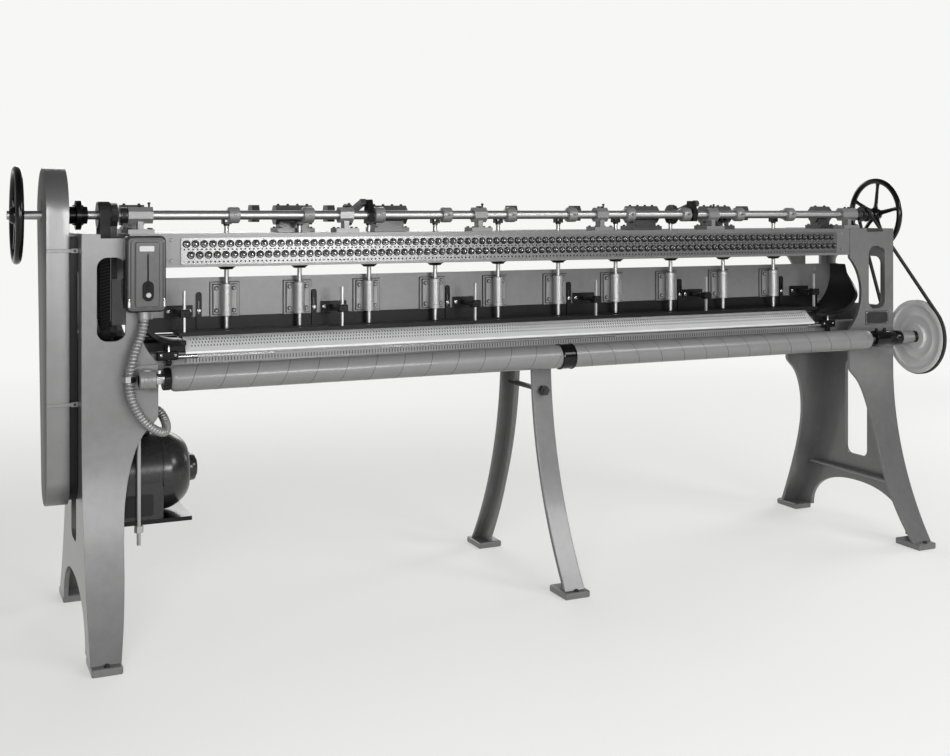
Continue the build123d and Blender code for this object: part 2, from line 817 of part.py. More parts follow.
def guard_front_y(z):
    """The guard's front edge at height z, on the line that touches both round ends."""
    rise = shaft_z - motor_z
    run = main_y - motor_y
    reach = sqrt(rise ** 2 + run ** 2)
    lean = atan2(run, rise)
    spread = lean - atan2(guard_high_radius - guard_low_radius, reach)
    y_high = main_y - guard_high_radius * cos(spread)
    z_high = shaft_z + guard_high_radius * sin(spread)
    return y_high - (z_high - z) * tan(spread)


with BuildPart() as guard_straps:
    for place_z in strap_z:
        front_y = guard_front_y(place_z + strap_width / 2) - 1
        with BuildSketch(facing_z(place_z - strap_width / 2)):
            with BuildLine():
                Polyline(
                    (-frame_outer, front_y + strap_tail),
                    (-frame_outer - strap_thick, front_y + strap_tail),
                    (-frame_outer - strap_thick, front_y),
                    (-guard_inner - strap_width, front_y),
                    (-guard_inner - strap_width, front_y - strap_thick),
                    (-frame_outer, front_y - strap_thick),
                    close=True,
                )
            make_face()
        extrude(amount=strap_width)
guard_straps.part.label = "guard_straps"
export_step(guard_straps.part, "parts/guard_straps.step")

# Motor under the left end of the bed, on a hinged base held by a screwed rod
motor_radius = 115.0
motor_left = -1437.0
motor_barrel_right = -1225.0
motor_right = -1160.0
motor_cap_right = -1131.0
motor_cap_radius = 39.5
motor_shoulder = 26.0
motor_shoulder_depth = 20.0
motor_dome = 40.0
motor_shaft_radius = 12.0
base_z = 330.0
base_thick = 12.0
base_half_depth = 120.0
base_flange = 90.0
gland_x = -1286.0
gland_radius = 17.0
gland_top = 592.0
hanger_x = -1318.0
hanger_radius = 6.0
hanger_top = 600.0
hanger_low = 275.0
hanger_nut_z = 311.0

with BuildPart() as motor:
    with BuildSketch(facing_x(motor_left)):
        with Locations((motor_y, motor_z)):
            RegularPolygon(motor_radius, rim_sides)
    extrude(amount=motor_right - motor_left)
    drive_end = motor.faces().sort_by(Axis.X)[0]
    chamfer(drive_end.edges(), motor_shoulder, motor_shoulder_depth, reference=drive_end)
    fan_end = motor.faces().sort_by(Axis.X)[-1]
    chamfer(fan_end.edges(), motor_dome, motor_right - motor_barrel_right, reference=fan_end)
    with BuildSketch(facing_x(motor_right)):
        with Locations((motor_y, motor_z)):
            RegularPolygon(motor_cap_radius, barrel_sides)
    extrude(amount=motor_cap_right - motor_right)
    # Feet down to the base plate
    with BuildSketch(facing_z(base_z + base_thick)):
        with Locations((motor_barrel_right - 60, motor_y), (motor_left + 70, motor_y)):
            Rectangle(40, 150)
    extrude(amount=motor_z - base_z - base_thick - 60)
    # Cable entry on top
    with BuildSketch(facing_z(gland_top)):
        with Locations((gland_x, motor_y)):
            RegularPolygon(gland_radius, bore_sides)
    extrude(amount=-40)
    # Clear bore for the rotor's shaft
    with BuildSketch(facing_x(motor_left)):
        with Locations((motor_y, motor_z)):
            RegularPolygon(motor_shaft_radius + running_gap, barrel_sides, major_radius=False)
    extrude(amount=60, mode=Mode.SUBTRACT)
motor.part.label = "motor"
export_step(motor.part, "parts/motor.step")

with BuildPart() as motor_base:
    with BuildSketch(facing_y(motor_y + base_half_depth)):
        with BuildLine():
            Polyline(
                (-trough_end, base_z),
                (motor_right - 6, base_z),
                (motor_right - 6, base_z + base_thick),
                (-trough_end + 10, base_z + base_thick),
                (-trough_end + 10, base_z + base_flange),
                (-trough_end, base_z + base_flange),
                close=True,
            )
        make_face()
    extrude(amount=2 * base_half_depth)
    with BuildSketch(facing_x(-trough_end)):
        with Locations((motor_y, base_z + base_flange)):
            Rectangle(110, 2 * (base_flange - base_thick - 12))
    extrude(amount=10, mode=Mode.SUBTRACT)
    with BuildSketch(facing_z(base_z)):
        with Locations((hanger_x, -plate_front + frame_wall + 7)):
            RegularPolygon(hanger_radius + 0.5, 8, major_radius=False)
    extrude(amount=base_thick, mode=Mode.SUBTRACT)
motor_base.part.label = "motor_base"
export_step(motor_base.part, "parts/motor_base.step")

with BuildPart() as hanger_rod:
    with BuildSketch(facing_z(hanger_low)):
        with Locations((hanger_x, -plate_front + frame_wall + 7)):
            RegularPolygon(hanger_radius, 8)
    extrude(amount=hanger_top - hanger_low)
    with BuildSketch(facing_z(base_z)):
        with Locations((hanger_x, -plate_front + frame_wall + 7)):
            RegularPolygon(13, 6)
    extrude(amount=hanger_nut_z - base_z)
    with BuildSketch(facing_y(-plate_front + frame_wall + 14)):
        with Locations((hanger_x - 6, hanger_top)):
            Rectangle(26, 40)
    extrude(amount=14)
hanger_rod.part.label = "hanger_rod"
export_step(hanger_rod.part, "parts/hanger_rod.step")

# Switch box on the left frame's front plate
box_left = -1365.0
box_right = -1254.0
box_low = 944.0
box_high = 1158.0
box_depth = 45.0
box_corner = 10.0
cover_margin = 8.0
cover_depth = 16.0
panel_margin = 24.0
panel_depth = 14.0
station_x = -1308.5
station_z = 1005.0
station_width = 30.0
station_height = 56.0
station_depth = 7.0
button_radius = 7.0
button_gap = 0.4
button_travel = 3.0
button_proud = 4.0
start_button_z = station_z + 11.0
stop_button_z = station_z - 11.0
box_x = (box_left + box_right) / 2
box_z = (box_low + box_high) / 2
box_width = box_right - box_left
box_height = box_high - box_low
box_front = -plate_front - box_depth
cover_front = box_front - cover_depth
panel_front = cover_front - panel_depth
station_front = panel_front - station_depth

with BuildPart() as switch_box:
    with BuildSketch(facing_y(-plate_front)):
        with Locations((box_x, box_z)):
            Rectangle(box_width, box_height)
        chamfer(vertices(), box_corner)
    extrude(amount=box_depth)
switch_box.part.label = "switch_box"
export_step(switch_box.part, "parts/switch_box.step")

with BuildPart() as switch_cover:
    with BuildSketch(facing_y(box_front)):
        with Locations((box_x, box_z)):
            Rectangle(box_width - cover_margin, box_height - cover_margin)
        chamfer(vertices(), box_corner)
    extrude(amount=cover_depth)
    with BuildSketch(facing_y(cover_front)):
        with Locations((box_x, box_z)):
            Rectangle(box_width - 2 * panel_margin, box_height - panel_margin)
    extrude(amount=panel_depth)
    with BuildSketch(facing_y(panel_front)):
        with Locations((station_x, start_button_z), (station_x, stop_button_z)):
            RegularPolygon(button_radius + 1, bore_sides, major_radius=False)
    extrude(amount=-(button_travel + 2), mode=Mode.SUBTRACT)
switch_cover.part.label = "switch_cover"
export_step(switch_cover.part, "parts/switch_cover.step")

with BuildPart() as button_station:
    with BuildSketch(facing_y(panel_front)):
        with Locations((station_x, station_z)):
            Rectangle(station_width, station_height)
        chamfer(vertices(), station_width / 3)
        with Locations((station_x, start_button_z), (station_x, stop_button_z)):
            RegularPolygon(
                button_radius + button_gap, bore_sides, major_radius=False, mode=Mode.SUBTRACT
            )
    extrude(amount=station_depth)
button_station.part.label = "button_station"
export_step(button_station.part, "parts/button_station.step")


def push_button(z):
    with BuildPart() as button:
        with BuildSketch(facing_y(station_front - button_proud)):
            with Locations((station_x, z)):
                RegularPolygon(button_radius, bore_sides)
        extrude(amount=-(button_proud + station_depth))
    return button


start_button = push_button(start_button_z)
start_button.part.label = "start_button"
export_step(start_button.part, "parts/start_button.step")

stop_button = push_button(stop_button_z)
stop_button.part.label = "stop_button"
export_step(stop_button.part, "parts/stop_button.step")

# Flexible conduit from the switch box to the motor's cable entry, clipped beside the roll bearing
conduit_radius = 13.0
conduit_sides = 3
conduit_points = [
    (-1311.0, -216.0, box_low),
    (-1311.0, -216.0, 900.0),
    (-1337.0, -223.0, 838.0),
    (-1354.0, -225.0, 766.0),
    (-1350.0, -224.0, 696.0),
    (-1308.0, -212.0, 626.0),
    (-1248.0, -180.0, 586.0),
    (-1230.0, -124.0, 606.0),
    (-1246.0, -78.0, 646.0),
    (gland_x, motor_y, 648.0),
    (gland_x, motor_y, gland_top),
]


def bend_radii(points):
    radii = []
    for before, corner, after in zip(points, points[1:], points[2:]):
        run_in = Vector(*corner) - Vector(*before)
        run_out = Vector(*after) - Vector(*corner)
        half_turn = radians(run_in.get_angle(run_out)) / 2
        radii.append(0.45 * min(run_in.length, run_out.length) / tan(half_turn))
    return radii


conduit_bends = bend_radii(conduit_points)
print("conduit bend radii", [round(bend) for bend in conduit_bends])
conduit_route = [(middle_x + x, y, z) for x, y, z in conduit_points]

with BuildPart() as conduit:
    with BuildLine() as conduit_line:
        FilletPolyline(*conduit_route, radius=conduit_bends)
    with BuildSketch(Plane(conduit_line.line @ 0, z_dir=conduit_line.line % 0)):
        RegularPolygon(conduit_radius, conduit_sides)
    sweep()
conduit.part.label = "conduit"
export_step(conduit.part, "parts/conduit.step")
conduit_length = sum(edge.length for edge in conduit_line.edges())
print("conduit length", round(conduit_length), "volume", round(conduit.part.volume))

# Roll bearings: left boss, right journal bearing, both on the frames' front plates
left_boss_x = -1333.0
left_boss_end = -1288.0
right_boss_x = 1312.0
right_boss_end = 1440.0
right_sleeve_end = 1497.0
boss_radius = 27.0
boss_web = 30.0

with BuildPart() as roll_bearings:
    with BuildSketch(facing_x(left_boss_x)):
        with Locations((roll_y, roll_z)):
            RegularPolygon(boss_radius, barrel_sides)
        with Locations(((roll_y - plate_front) / 2, roll_z)):
            Rectangle(-plate_front - roll_y, boss_web)
    extrude(amount=left_boss_end - left_boss_x)
    with BuildSketch(facing_x(right_boss_x)):
        with Locations((roll_y, roll_z)):
            RegularPolygon(boss_radius, barrel_sides)
        with Locations(((roll_y - plate_front) / 2, roll_z)):
            Rectangle(-plate_front - roll_y, boss_web)
    extrude(amount=right_boss_end - right_boss_x)
    with BuildSketch(facing_x(right_boss_end)):
        with Locations((roll_y, roll_z)):
            RegularPolygon(boss_radius - 4, barrel_sides)
    extrude(amount=right_sleeve_end - right_boss_end)
    with BuildSketch(facing_y(-plate_front)):
        with Locations((left_boss_x + 20, roll_z)):
            Rectangle(90, 70)
        with Locations(((right_boss_x + right_boss_end) / 2, roll_z)):
            Rectangle(right_boss_end - right_boss_x, 84)
    extrude(amount=10)
    with BuildSketch(facing_x(-frame_outer)):
        with Locations((roll_y, roll_z)):
            RegularPolygon(journal_radius + running_gap, barrel_sides, major_radius=False)
    extrude(amount=2 * frame_outer + 100, mode=Mode.SUBTRACT)
roll_bearings.part.label = "roll_bearings"
export_step(roll_bearings.part, "parts/roll_bearings.step")

# Clip that holds the conduit on the left bearing's foot
clip_z = 757.0
clip_x = -1352.5
clip_thick = 3.0

with BuildPart() as conduit_clip:
    with BuildSketch(facing_z(clip_z - 8)):
        with Locations((clip_x, -224.5)):
            RegularPolygon(conduit_radius + 1 + clip_thick, bore_sides, major_radius=False)
        with Locations((clip_x - conduit_radius - 1 - clip_thick / 2, (-plate_front - 224.5) / 2)):
            Rectangle(clip_thick, 224.5 - plate_front)
        with Locations((clip_x, -224.5)):
            RegularPolygon(conduit_radius + 1, bore_sides, major_radius=False, mode=Mode.SUBTRACT)
    extrude(amount=16)
conduit_clip.part.label = "conduit_clip"
export_step(conduit_clip.part, "parts/conduit_clip.step")

# Main shaft with its handwheels, pulleys, coupling, eccentrics and counterweights
spoke_count = 5
spoke_width = 18.0
spoke_thick = 9.0
rim_depth = 20.0
hub_radius = 27.0
guard_pulley_left = -1552.0
guard_pulley_right = -1516.0
guard_pulley_radius = 116.0
timing_left = -1408.0
timing_right = -1371.0
timing_radius = 36.0
v_pulley_left = 1513.0
v_pulley_right = 1541.0
v_pulley_radius = 30.0
v_depth = 9.0
v_land = 2.0
coupling_left = -1488.0
coupling_right = -1436.0
coupling_radius = 44.0
coupling_hub = 26.0
eccentric_radius = 26.0
rod_big_width = 18.0
looper_rod_x = -1359.0
counterweight_x = [-935.0, -690.0, -36.0, 213.0, 700.0, 935.0]
counterweight_width = 24.0


def coned_disc(y, z, start, end, radius, cut_back):
    """A many-sided disc whose edge at the end is cut back to a cone."""
    with BuildPart() as disc:
        with BuildSketch(facing_x(start)):
            with Locations((y, z)):
                RegularPolygon(radius, rim_sides)
        extrude(amount=end - start)
        far_face = disc.faces().sort_by(Axis.X)[-1 if end > start else 0]
        chamfer(far_face.edges(), cut_back, abs(end - start) - v_land, reference=far_face)
    return disc


def grooved_wheel(y, z, left, right, radius):
    """A solid wheel with a V groove round its rim."""
    middle = (left + right) / 2
    with BuildPart() as wheel:
        add(coned_disc(y, z, left, middle, radius, v_depth).part)
        add(coned_disc(y, z, right, middle, radius, v_depth).part)
    return wheel


drive_rod_x = [-(drive_arm_x + 10.0), drive_arm_x + 10.0]
eccentric_x = [looper_rod_x] + drive_rod_x
eccentric_y = main_y + eccentric_throw

with BuildPart() as main_shaft:
    with BuildSketch(facing_x(shaft_left_end)):
        with Locations((main_y, shaft_z)):
            Circle(main_radius)
    extrude(amount=shaft_right_end - shaft_left_end)
main_shaft.part.label = "main_shaft"
export_step(main_shaft.part, "parts/main_shaft.step")

with BuildPart() as handwheels:
    for wheel_x in (wheel_left, wheel_right):
        with BuildSketch(facing_x(wheel_x - wheel_rim / 2)):
            with Locations((main_y, shaft_z)):
                RegularPolygon(wheel_radius, rim_sides)
                RegularPolygon(wheel_radius - rim_depth, rim_sides, mode=Mode.SUBTRACT)
        extrude(amount=wheel_rim)
        with BuildSketch(facing_x(wheel_x - wheel_hub_length / 2)):
            with Locations((main_y, shaft_z)):
                RegularPolygon(hub_radius, barrel_sides)
        extrude(amount=wheel_hub_length)
        with BuildSketch(facing_x(wheel_x - spoke_thick / 2)):
            with Locations((main_y, shaft_z)):
                with PolarLocations(0, spoke_count, start_angle=90):
                    with Locations((wheel_radius / 2, 0)):
                        Rectangle(wheel_radius - rim_depth, spoke_width)
        extrude(amount=spoke_thick)
        with BuildSketch(facing_x(wheel_x - wheel_hub_length)):
            with Locations((main_y, shaft_z)):
                RegularPolygon(main_radius, bore_sides, major_radius=False)
        extrude(amount=2 * wheel_hub_length, mode=Mode.SUBTRACT)
handwheels.part.label = "handwheels"
export_step(handwheels.part, "parts/handwheels.step")

with BuildPart() as shaft_pulleys:
    add(grooved_wheel(main_y, shaft_z, guard_pulley_left, guard_pulley_right, guard_pulley_radius).part)
    add(grooved_wheel(main_y, shaft_z, v_pulley_left, v_pulley_right, v_pulley_radius).part)
    with BuildSketch(facing_x(timing_left)):
        with Locations((main_y, shaft_z)):
            RegularPolygon(timing_radius, rim_sides)
    extrude(amount=timing_right - timing_left)
    with BuildSketch(facing_x(guard_pulley_left)):
        with Locations((main_y, shaft_z)):
            RegularPolygon(main_radius, bore_sides, major_radius=False)
    extrude(amount=v_pulley_right - guard_pulley_left, mode=Mode.SUBTRACT)
shaft_pulleys.part.label = "shaft_pulleys"
export_step(shaft_pulleys.part, "parts/shaft_pulleys.step")

with BuildPart() as flange_coupling:
    with BuildSketch(facing_x(coupling_left)):
        with Locations((main_y, shaft_z)):
            RegularPolygon(coupling_hub, barrel_sides)
    extrude(amount=coupling_right - coupling_left)
    with BuildSketch(facing_x((coupling_left + coupling_right) / 2 - 10)):
        with Locations((main_y, shaft_z)):
            RegularPolygon(coupling_radius, rim_sides)
    extrude(amount=20)
    with BuildSketch(facing_x(coupling_left)):
        with Locations((main_y, shaft_z)):
            RegularPolygon(main_radius, bore_sides, major_radius=False)
    extrude(amount=coupling_right - coupling_left, mode=Mode.SUBTRACT)
flange_coupling.part.label = "flange_coupling"
export_step(flange_coupling.part, "parts/flange_coupling.step")

with BuildPart() as eccentrics:
    for place_x in eccentric_x:
        with BuildSketch(facing_x(place_x - rod_big_width / 2)):
            with Locations((eccentric_y, shaft_z)):
                RegularPolygon(eccentric_radius, barrel_sides)
            with Locations((main_y, shaft_z)):
                RegularPolygon(main_radius, bore_sides, major_radius=False, mode=Mode.SUBTRACT)
        extrude(amount=rod_big_width)
eccentrics.part.label = "eccentrics"
export_step(eccentrics.part, "parts/eccentrics.step")

with BuildPart() as counterweights:
    for place_x in counterweight_x:
        with BuildSketch(facing_x(place_x - counterweight_width / 2)):
            with BuildLine():
                Polyline(
                    (main_y - 20, shaft_z + 31),
                    (main_y + 20, shaft_z + 31),
                    (main_y + 30, shaft_z + 10),
                    (main_y + 22, shaft_z - 22),
                    (main_y - 22, shaft_z - 22),
                    (main_y - 30, shaft_z + 10),
                    close=True,
                )
            make_face()
            with Locations((main_y, shaft_z)):
                RegularPolygon(main_radius, bore_sides, major_radius=False, mode=Mode.SUBTRACT)
        extrude(amount=counterweight_width)
counterweights.part.label = "counterweights"
export_step(counterweights.part, "parts/counterweights.step")

# Connecting rods: two to the rocker's drive arms, one down to the looper shaft.
# The far pivots stay open: each rod's eye stands beside its arm with a small side gap.
drive_lean = radians(10.0)
drive_pin_y = rocker_y + drive_arm_reach * sin(drive_lean)
drive_pin_z = shaft_z + drive_arm_reach * cos(drive_lean)
big_end_radius = 36.0
small_end_radius = 11.0
looper_pin_z = 862.0
rod_width = 18.0


def connecting_rod(place_x, pin_y, pin_z):
    slope = atan2(pin_z - shaft_z, pin_y - eccentric_y)
    across = Vector(-sin(slope), cos(slope)) * (small_end_radius * 0.8)
    near = Vector(eccentric_y, shaft_z) + Vector(cos(slope), sin(slope)) * (eccentric_radius + 4)
    far = Vector(pin_y, pin_z)
    with BuildPart() as rod:
        with BuildSketch(facing_x(place_x - rod_width / 2)):
            with Locations((eccentric_y, shaft_z)):
                RegularPolygon(big_end_radius, barrel_sides)
            with BuildLine():
                Polyline(near + across, far + across, far - across, near - across, close=True)
            make_face()
            with Locations((pin_y, pin_z)):
                RegularPolygon(small_end_radius, bore_sides)
            with Locations((eccentric_y, shaft_z)):
                RegularPolygon(
                    eccentric_radius + running_gap, barrel_sides, major_radius=False, mode=Mode.SUBTRACT
                )
        extrude(amount=rod_width)
    return rod


with BuildPart() as needle_connecting_rods:
    add(connecting_rod(drive_rod_x[0], drive_pin_y, drive_pin_z).part)
    add(connecting_rod(drive_rod_x[1], drive_pin_y, drive_pin_z).part)
needle_connecting_rods.part.label = "needle_connecting_rods"
export_step(needle_connecting_rods.part, "parts/needle_connecting_rods.step")

looper_connecting_rod = connecting_rod(looper_rod_x, eccentric_y, looper_pin_z)
looper_connecting_rod.part.label = "looper_connecting_rod"
export_step(looper_connecting_rod.part, "parts/looper_connecting_rod.step")

# Rocker shaft, with a collar at each end, and its arms
rocker_end = 1367.0
collar_radius = 22.0
collar_width = 20.0
collar_place = -pedestal_x[0] + pedestal_widths[0] / 2 + side_gap
arm_width = 10.0
arm_hub_radius = 27.0
arm_tip_height = 11.0
arm_tip_reach = 12.0
fork_height = pin_radius + 1.2
fork_depth = 8.0
drive_arm_width = rod_width
drive_arm_centre = drive_rod_x[1] - rod_width / 2 - side_gap - drive_arm_width / 2

with BuildPart() as rocker_shaft:
    with BuildSketch(facing_x(-rocker_end)):
        with Locations((rocker_y, shaft_z)):
            RegularPolygon(rocker_radius, barrel_sides)
    extrude(amount=2 * rocker_end)
    for place_x in (-collar_place - collar_width, collar_place):
        with BuildSketch(facing_x(place_x)):
            with Locations((rocker_y, shaft_z)):
                RegularPolygon(collar_radius, barrel_sides)
        extrude(amount=collar_width)
rocker_shaft.part.label = "rocker_shaft"
export_step(rocker_shaft.part, "parts/rocker_shaft.step")

with BuildPart() as rocker_arms:
    for place_x in needle_places():
        with BuildSketch(facing_x(place_x - arm_width / 2)):
            with BuildLine():
                Polyline(
                    (rocker_y - arm_hub_radius, shaft_z),
                    (rocker_y, shaft_z - arm_hub_radius),
                    (needle_y - arm_tip_reach, shaft_z - arm_tip_height),
                    (needle_y + arm_tip_reach, shaft_z - arm_tip_height),
                    (needle_y + arm_tip_reach, shaft_z - fork_height),
                    (needle_y - fork_depth, shaft_z - fork_height),
                    (needle_y - fork_depth, shaft_z + fork_height),
                    (needle_y + arm_tip_reach, shaft_z + fork_height),
                    (needle_y + arm_tip_reach, shaft_z + arm_tip_height),
                    (needle_y - arm_tip_reach, shaft_z + arm_tip_height),
                    (rocker_y, shaft_z + arm_hub_radius),
                    close=True,
                )
            make_face()
            with Locations((rocker_y, shaft_z)):
                RegularPolygon(rocker_radius, bore_sides, major_radius=False, mode=Mode.SUBTRACT)
        extrude(amount=arm_width)
rocker_arms.part.label = "rocker_arms"
export_step(rocker_arms.part, "parts/rocker_arms.step")

with BuildPart() as drive_arms:
    for place_x in (-drive_arm_centre, drive_arm_centre):
        with BuildSketch(facing_x(place_x - drive_arm_width / 2)):
            with BuildLine():
                Polyline(
                    (drive_pin_y - 12, drive_pin_z + 9),
                    (drive_pin_y + 12, drive_pin_z + 9),
                    (rocker_y + 25, shaft_z + 6),
                    (rocker_y + 19, shaft_z - 24),
                    (rocker_y - 19, shaft_z - 24),
                    (rocker_y - 25, shaft_z + 6),
                    close=True,
                )
            make_face()
            with Locations((rocker_y, shaft_z)):
                RegularPolygon(rocker_radius, bore_sides, major_radius=False, mode=Mode.SUBTRACT)
        extrude(amount=drive_arm_width)
drive_arms.part.label = "drive_arms"
export_step(drive_arms.part, "parts/drive_arms.step")

# Push rods with forked heads round the rocker arms, and the needle bar on their lower ends
pin_sides = 4
head_width = 28.0
head_depth = 22.0
head_low = 1188.0
head_high = 1228.0
head_slot = arm_width + 2 * side_gap
arm_tip_drop = 10.0
head_slot_floor = shaft_z - arm_tip_height - arm_tip_drop
needle_bar_end = 1195.0
needle_bar_low = 857.0
needle_bar_depth = 20.0

with BuildPart() as push_rods:
    with BuildSketch(facing_z(rod_bottom)):
        with Locations((0, needle_y)):
            with GridLocations(needle_pitch, 1, needle_count, 1):
                RegularPolygon(rod_radius, rod_sides)
    extrude(amount=head_low - rod_bottom)
    with BuildSketch(facing_z(head_low)):
        with Locations((0, needle_y)):
            with GridLocations(needle_pitch, 1, needle_count, 1):
                Rectangle(head_width, head_depth)
    extrude(amount=head_high - head_low)
    with BuildSketch(facing_z(head_slot_floor)):
        with Locations((0, needle_y)):
            with GridLocations(needle_pitch, 1, needle_count, 1):
                Rectangle(head_slot, head_depth)
    extrude(amount=head_high - head_slot_floor, mode=Mode.SUBTRACT)
    for place_x in needle_places():
        with BuildSketch(facing_x(place_x - head_slot / 2)):
            with Locations((needle_y, shaft_z)):
                RegularPolygon(pin_radius, pin_sides)
        extrude(amount=head_slot)
push_rods.part.label = "push_rods"
export_step(push_rods.part, "parts/push_rods.step")

with BuildPart() as needle_bar:
    with BuildSketch(facing_z(needle_bar_low)):
        with Locations((0, needle_y)):
            Rectangle(2 * needle_bar_end, needle_bar_depth)
    extrude(amount=rod_bottom - needle_bar_low)
needle_bar.part.label = "needle_bar"
export_step(needle_bar.part, "parts/needle_bar.step")

# Motor shaft and pulley
motor_pulley_radius = 46.0

with BuildPart() as motor_pulley:
    add(grooved_wheel(motor_y, motor_z, guard_pulley_left, guard_pulley_right, motor_pulley_radius).part)
    with BuildSketch(facing_x(guard_pulley_left)):
        with Locations((motor_y, motor_z)):
            RegularPolygon(motor_shaft_radius, barrel_sides)
    extrude(amount=motor_left + 58 - guard_pulley_left)
motor_pulley.part.label = "motor_pulley"
export_step(motor_pulley.part, "parts/motor_pulley.step")

# Cloth roll with its journals, rings and sheave
collar_end = 20.0
centre_ring_left = -8.0
centre_ring_right = 42.0
ring_radius = 41.0
sheave_left = 1515.0
sheave_right = 1539.0
sheave_radius = 137.0
sheave_rim = 18.0
sheave_web = 8.0
sheave_hub = 46.0
journal_right_end = 1552.0

with BuildPart() as cloth_roll:
    with BuildSketch(facing_x(roll_left)):
        with Locations((roll_y, roll_z)):
            Circle(roll_radius)
    extrude(amount=roll_right - roll_left)
cloth_roll.part.label = "cloth_roll"
export_step(cloth_roll.part, "parts/cloth_roll.step")

with BuildPart() as roll_journals:
    with BuildSketch(facing_x(left_boss_x)):
        with Locations((roll_y, roll_z)):
            RegularPolygon(journal_radius, barrel_sides)
    extrude(amount=roll_left - left_boss_x)
    with BuildSketch(facing_x(roll_right)):
        with Locations((roll_y, roll_z)):
            RegularPolygon(journal_radius, barrel_sides)
    extrude(amount=journal_right_end - roll_right)
roll_journals.part.label = "roll_journals"
export_step(roll_journals.part, "parts/roll_journals.step")

with BuildPart() as roll_rings:
    with BuildSketch(facing_x(roll_left - collar_end)):
        with Locations((roll_y, roll_z)):
            RegularPolygon(ring_radius, rim_sides)
            RegularPolygon(journal_radius, barrel_sides, major_radius=False, mode=Mode.SUBTRACT)
    extrude(amount=collar_end)
    with BuildSketch(facing_x(centre_ring_left)):
        with Locations((roll_y, roll_z)):
            RegularPolygon(ring_radius + 1, rim_sides)
            RegularPolygon(roll_radius, rim_sides, major_radius=False, mode=Mode.SUBTRACT)
    extrude(amount=centre_ring_right - centre_ring_left)
roll_rings.part.label = "roll_rings"
export_step(roll_rings.part, "parts/roll_rings.step")

with BuildPart() as roll_sheave:
    add(grooved_wheel(roll_y, roll_z, sheave_left, sheave_right, sheave_radius).part)
    for face_x, way in ((sheave_left, 1), (sheave_right, -1)):
        with BuildSketch(facing_x(face_x)):
            with Locations((roll_y, roll_z)):
                RegularPolygon(sheave_radius - sheave_rim, rim_sides)
                RegularPolygon(sheave_hub, barrel_sides, mode=Mode.SUBTRACT)
        extrude(amount=way * (sheave_right - sheave_left - sheave_web) / 2, mode=Mode.SUBTRACT)
    with BuildSketch(facing_x(sheave_left)):
        with Locations((roll_y, roll_z)):
            RegularPolygon(journal_radius, barrel_sides, major_radius=False)
    extrude(amount=sheave_right - sheave_left, mode=Mode.SUBTRACT)
roll_sheave.part.label = "roll_sheave"
export_step(roll_sheave.part, "parts/roll_sheave.step")

# Belts: motor to main shaft, main shaft to roll, and the ribbed belt in the left frame
belt_width = 10.0
belt_height = 9.0
belt_gap = 0.15
timing_width = 30.0
timing_height = 4.0


def belt(place_x, width, height, y_one, z_one, r_one, y_two, z_two, r_two):
    with BuildPart() as loop:
        with BuildSketch(facing_x(place_x - width / 2)):
            with Locations((y_one, z_one)):
                RegularPolygon(r_one + belt_gap + height, rim_sides, major_radius=False)
            with Locations((y_two, z_two)):
                RegularPolygon(r_two + belt_gap + height, rim_sides, major_radius=False)
            make_hull()
        extrude(amount=width)
        with BuildSketch(facing_x(place_x - width / 2)):
            with Locations((y_one, z_one)):
                RegularPolygon(r_one + belt_gap, rim_sides, major_radius=False)
            with Locations((y_two, z_two)):
                RegularPolygon(r_two + belt_gap, rim_sides, major_radius=False)
            make_hull()
        extrude(amount=width, mode=Mode.SUBTRACT)
    return loop


def belt_seat(radius, left, right):
    """Radius at which a belt's width meets the walls of a wheel's V groove."""
    return radius - v_depth * (1 - belt_width / (right - left - 2 * v_land))


motor_belt = belt(
    (guard_pulley_left + guard_pulley_right) / 2, belt_width, belt_height,
    main_y, shaft_z, belt_seat(guard_pulley_radius, guard_pulley_left, guard_pulley_right),
    motor_y, motor_z, belt_seat(motor_pulley_radius, guard_pulley_left, guard_pulley_right),
)
roll_belt = belt(
    (v_pulley_left + v_pulley_right) / 2, belt_width, belt_height,
    main_y, shaft_z, belt_seat(v_pulley_radius, v_pulley_left, v_pulley_right),
    roll_y, roll_z, belt_seat(sheave_radius, sheave_left, sheave_right),
)
timing_belt = belt(
    (timing_left + timing_right) / 2, timing_width, timing_height,
    main_y, shaft_z, timing_radius, main_y, countershaft_z, timing_radius,
)

with BuildPart() as drive_belts:
    add(motor_belt.part)
    add(roll_belt.part)
    add(timing_belt.part)
drive_belts.part.label = "drive_belts"
export_step(drive_belts.part, "parts/drive_belts.step")

# Lower pulley of the ribbed belt on its short shaft in the left frame's boss
with BuildPart() as lower_belt_pulley:
    with BuildSketch(facing_x(-frame_outer - 4)):
        with Locations((main_y, countershaft_z)):
            RegularPolygon(countershaft_radius, barrel_sides)
    extrude(amount=frame_outer + 4 + timing_left)
    with BuildSketch(facing_x(timing_left)):
        with Locations((main_y, countershaft_z)):
            RegularPolygon(timing_radius, rim_sides)
    extrude(amount=timing_right - timing_left)
lower_belt_pulley.part.label = "lower_belt_pulley"
export_step(lower_belt_pulley.part, "parts/lower_belt_pulley.step")

# Looper shaft in its bearings in the trough, with the looper bar and the driven arm
looper_y = 82.0
looper_z = 835.0
looper_radius = 11.0
looper_arm_x = looper_rod_x + rod_width / 2 + side_gap
looper_arm_width = 14.0
looper_right_end = 1316.0
looper_bearing_x = [-1290.0, -600.0, 8.0, 600.0, 1290.0]
looper_bearing_width = 16.0
looper_bar_y = -50.0
looper_bar_z = 802.0
looper_bar_end = 1150.0
looper_hanger_x = [-1100.0, -440.0, 440.0, 1100.0]

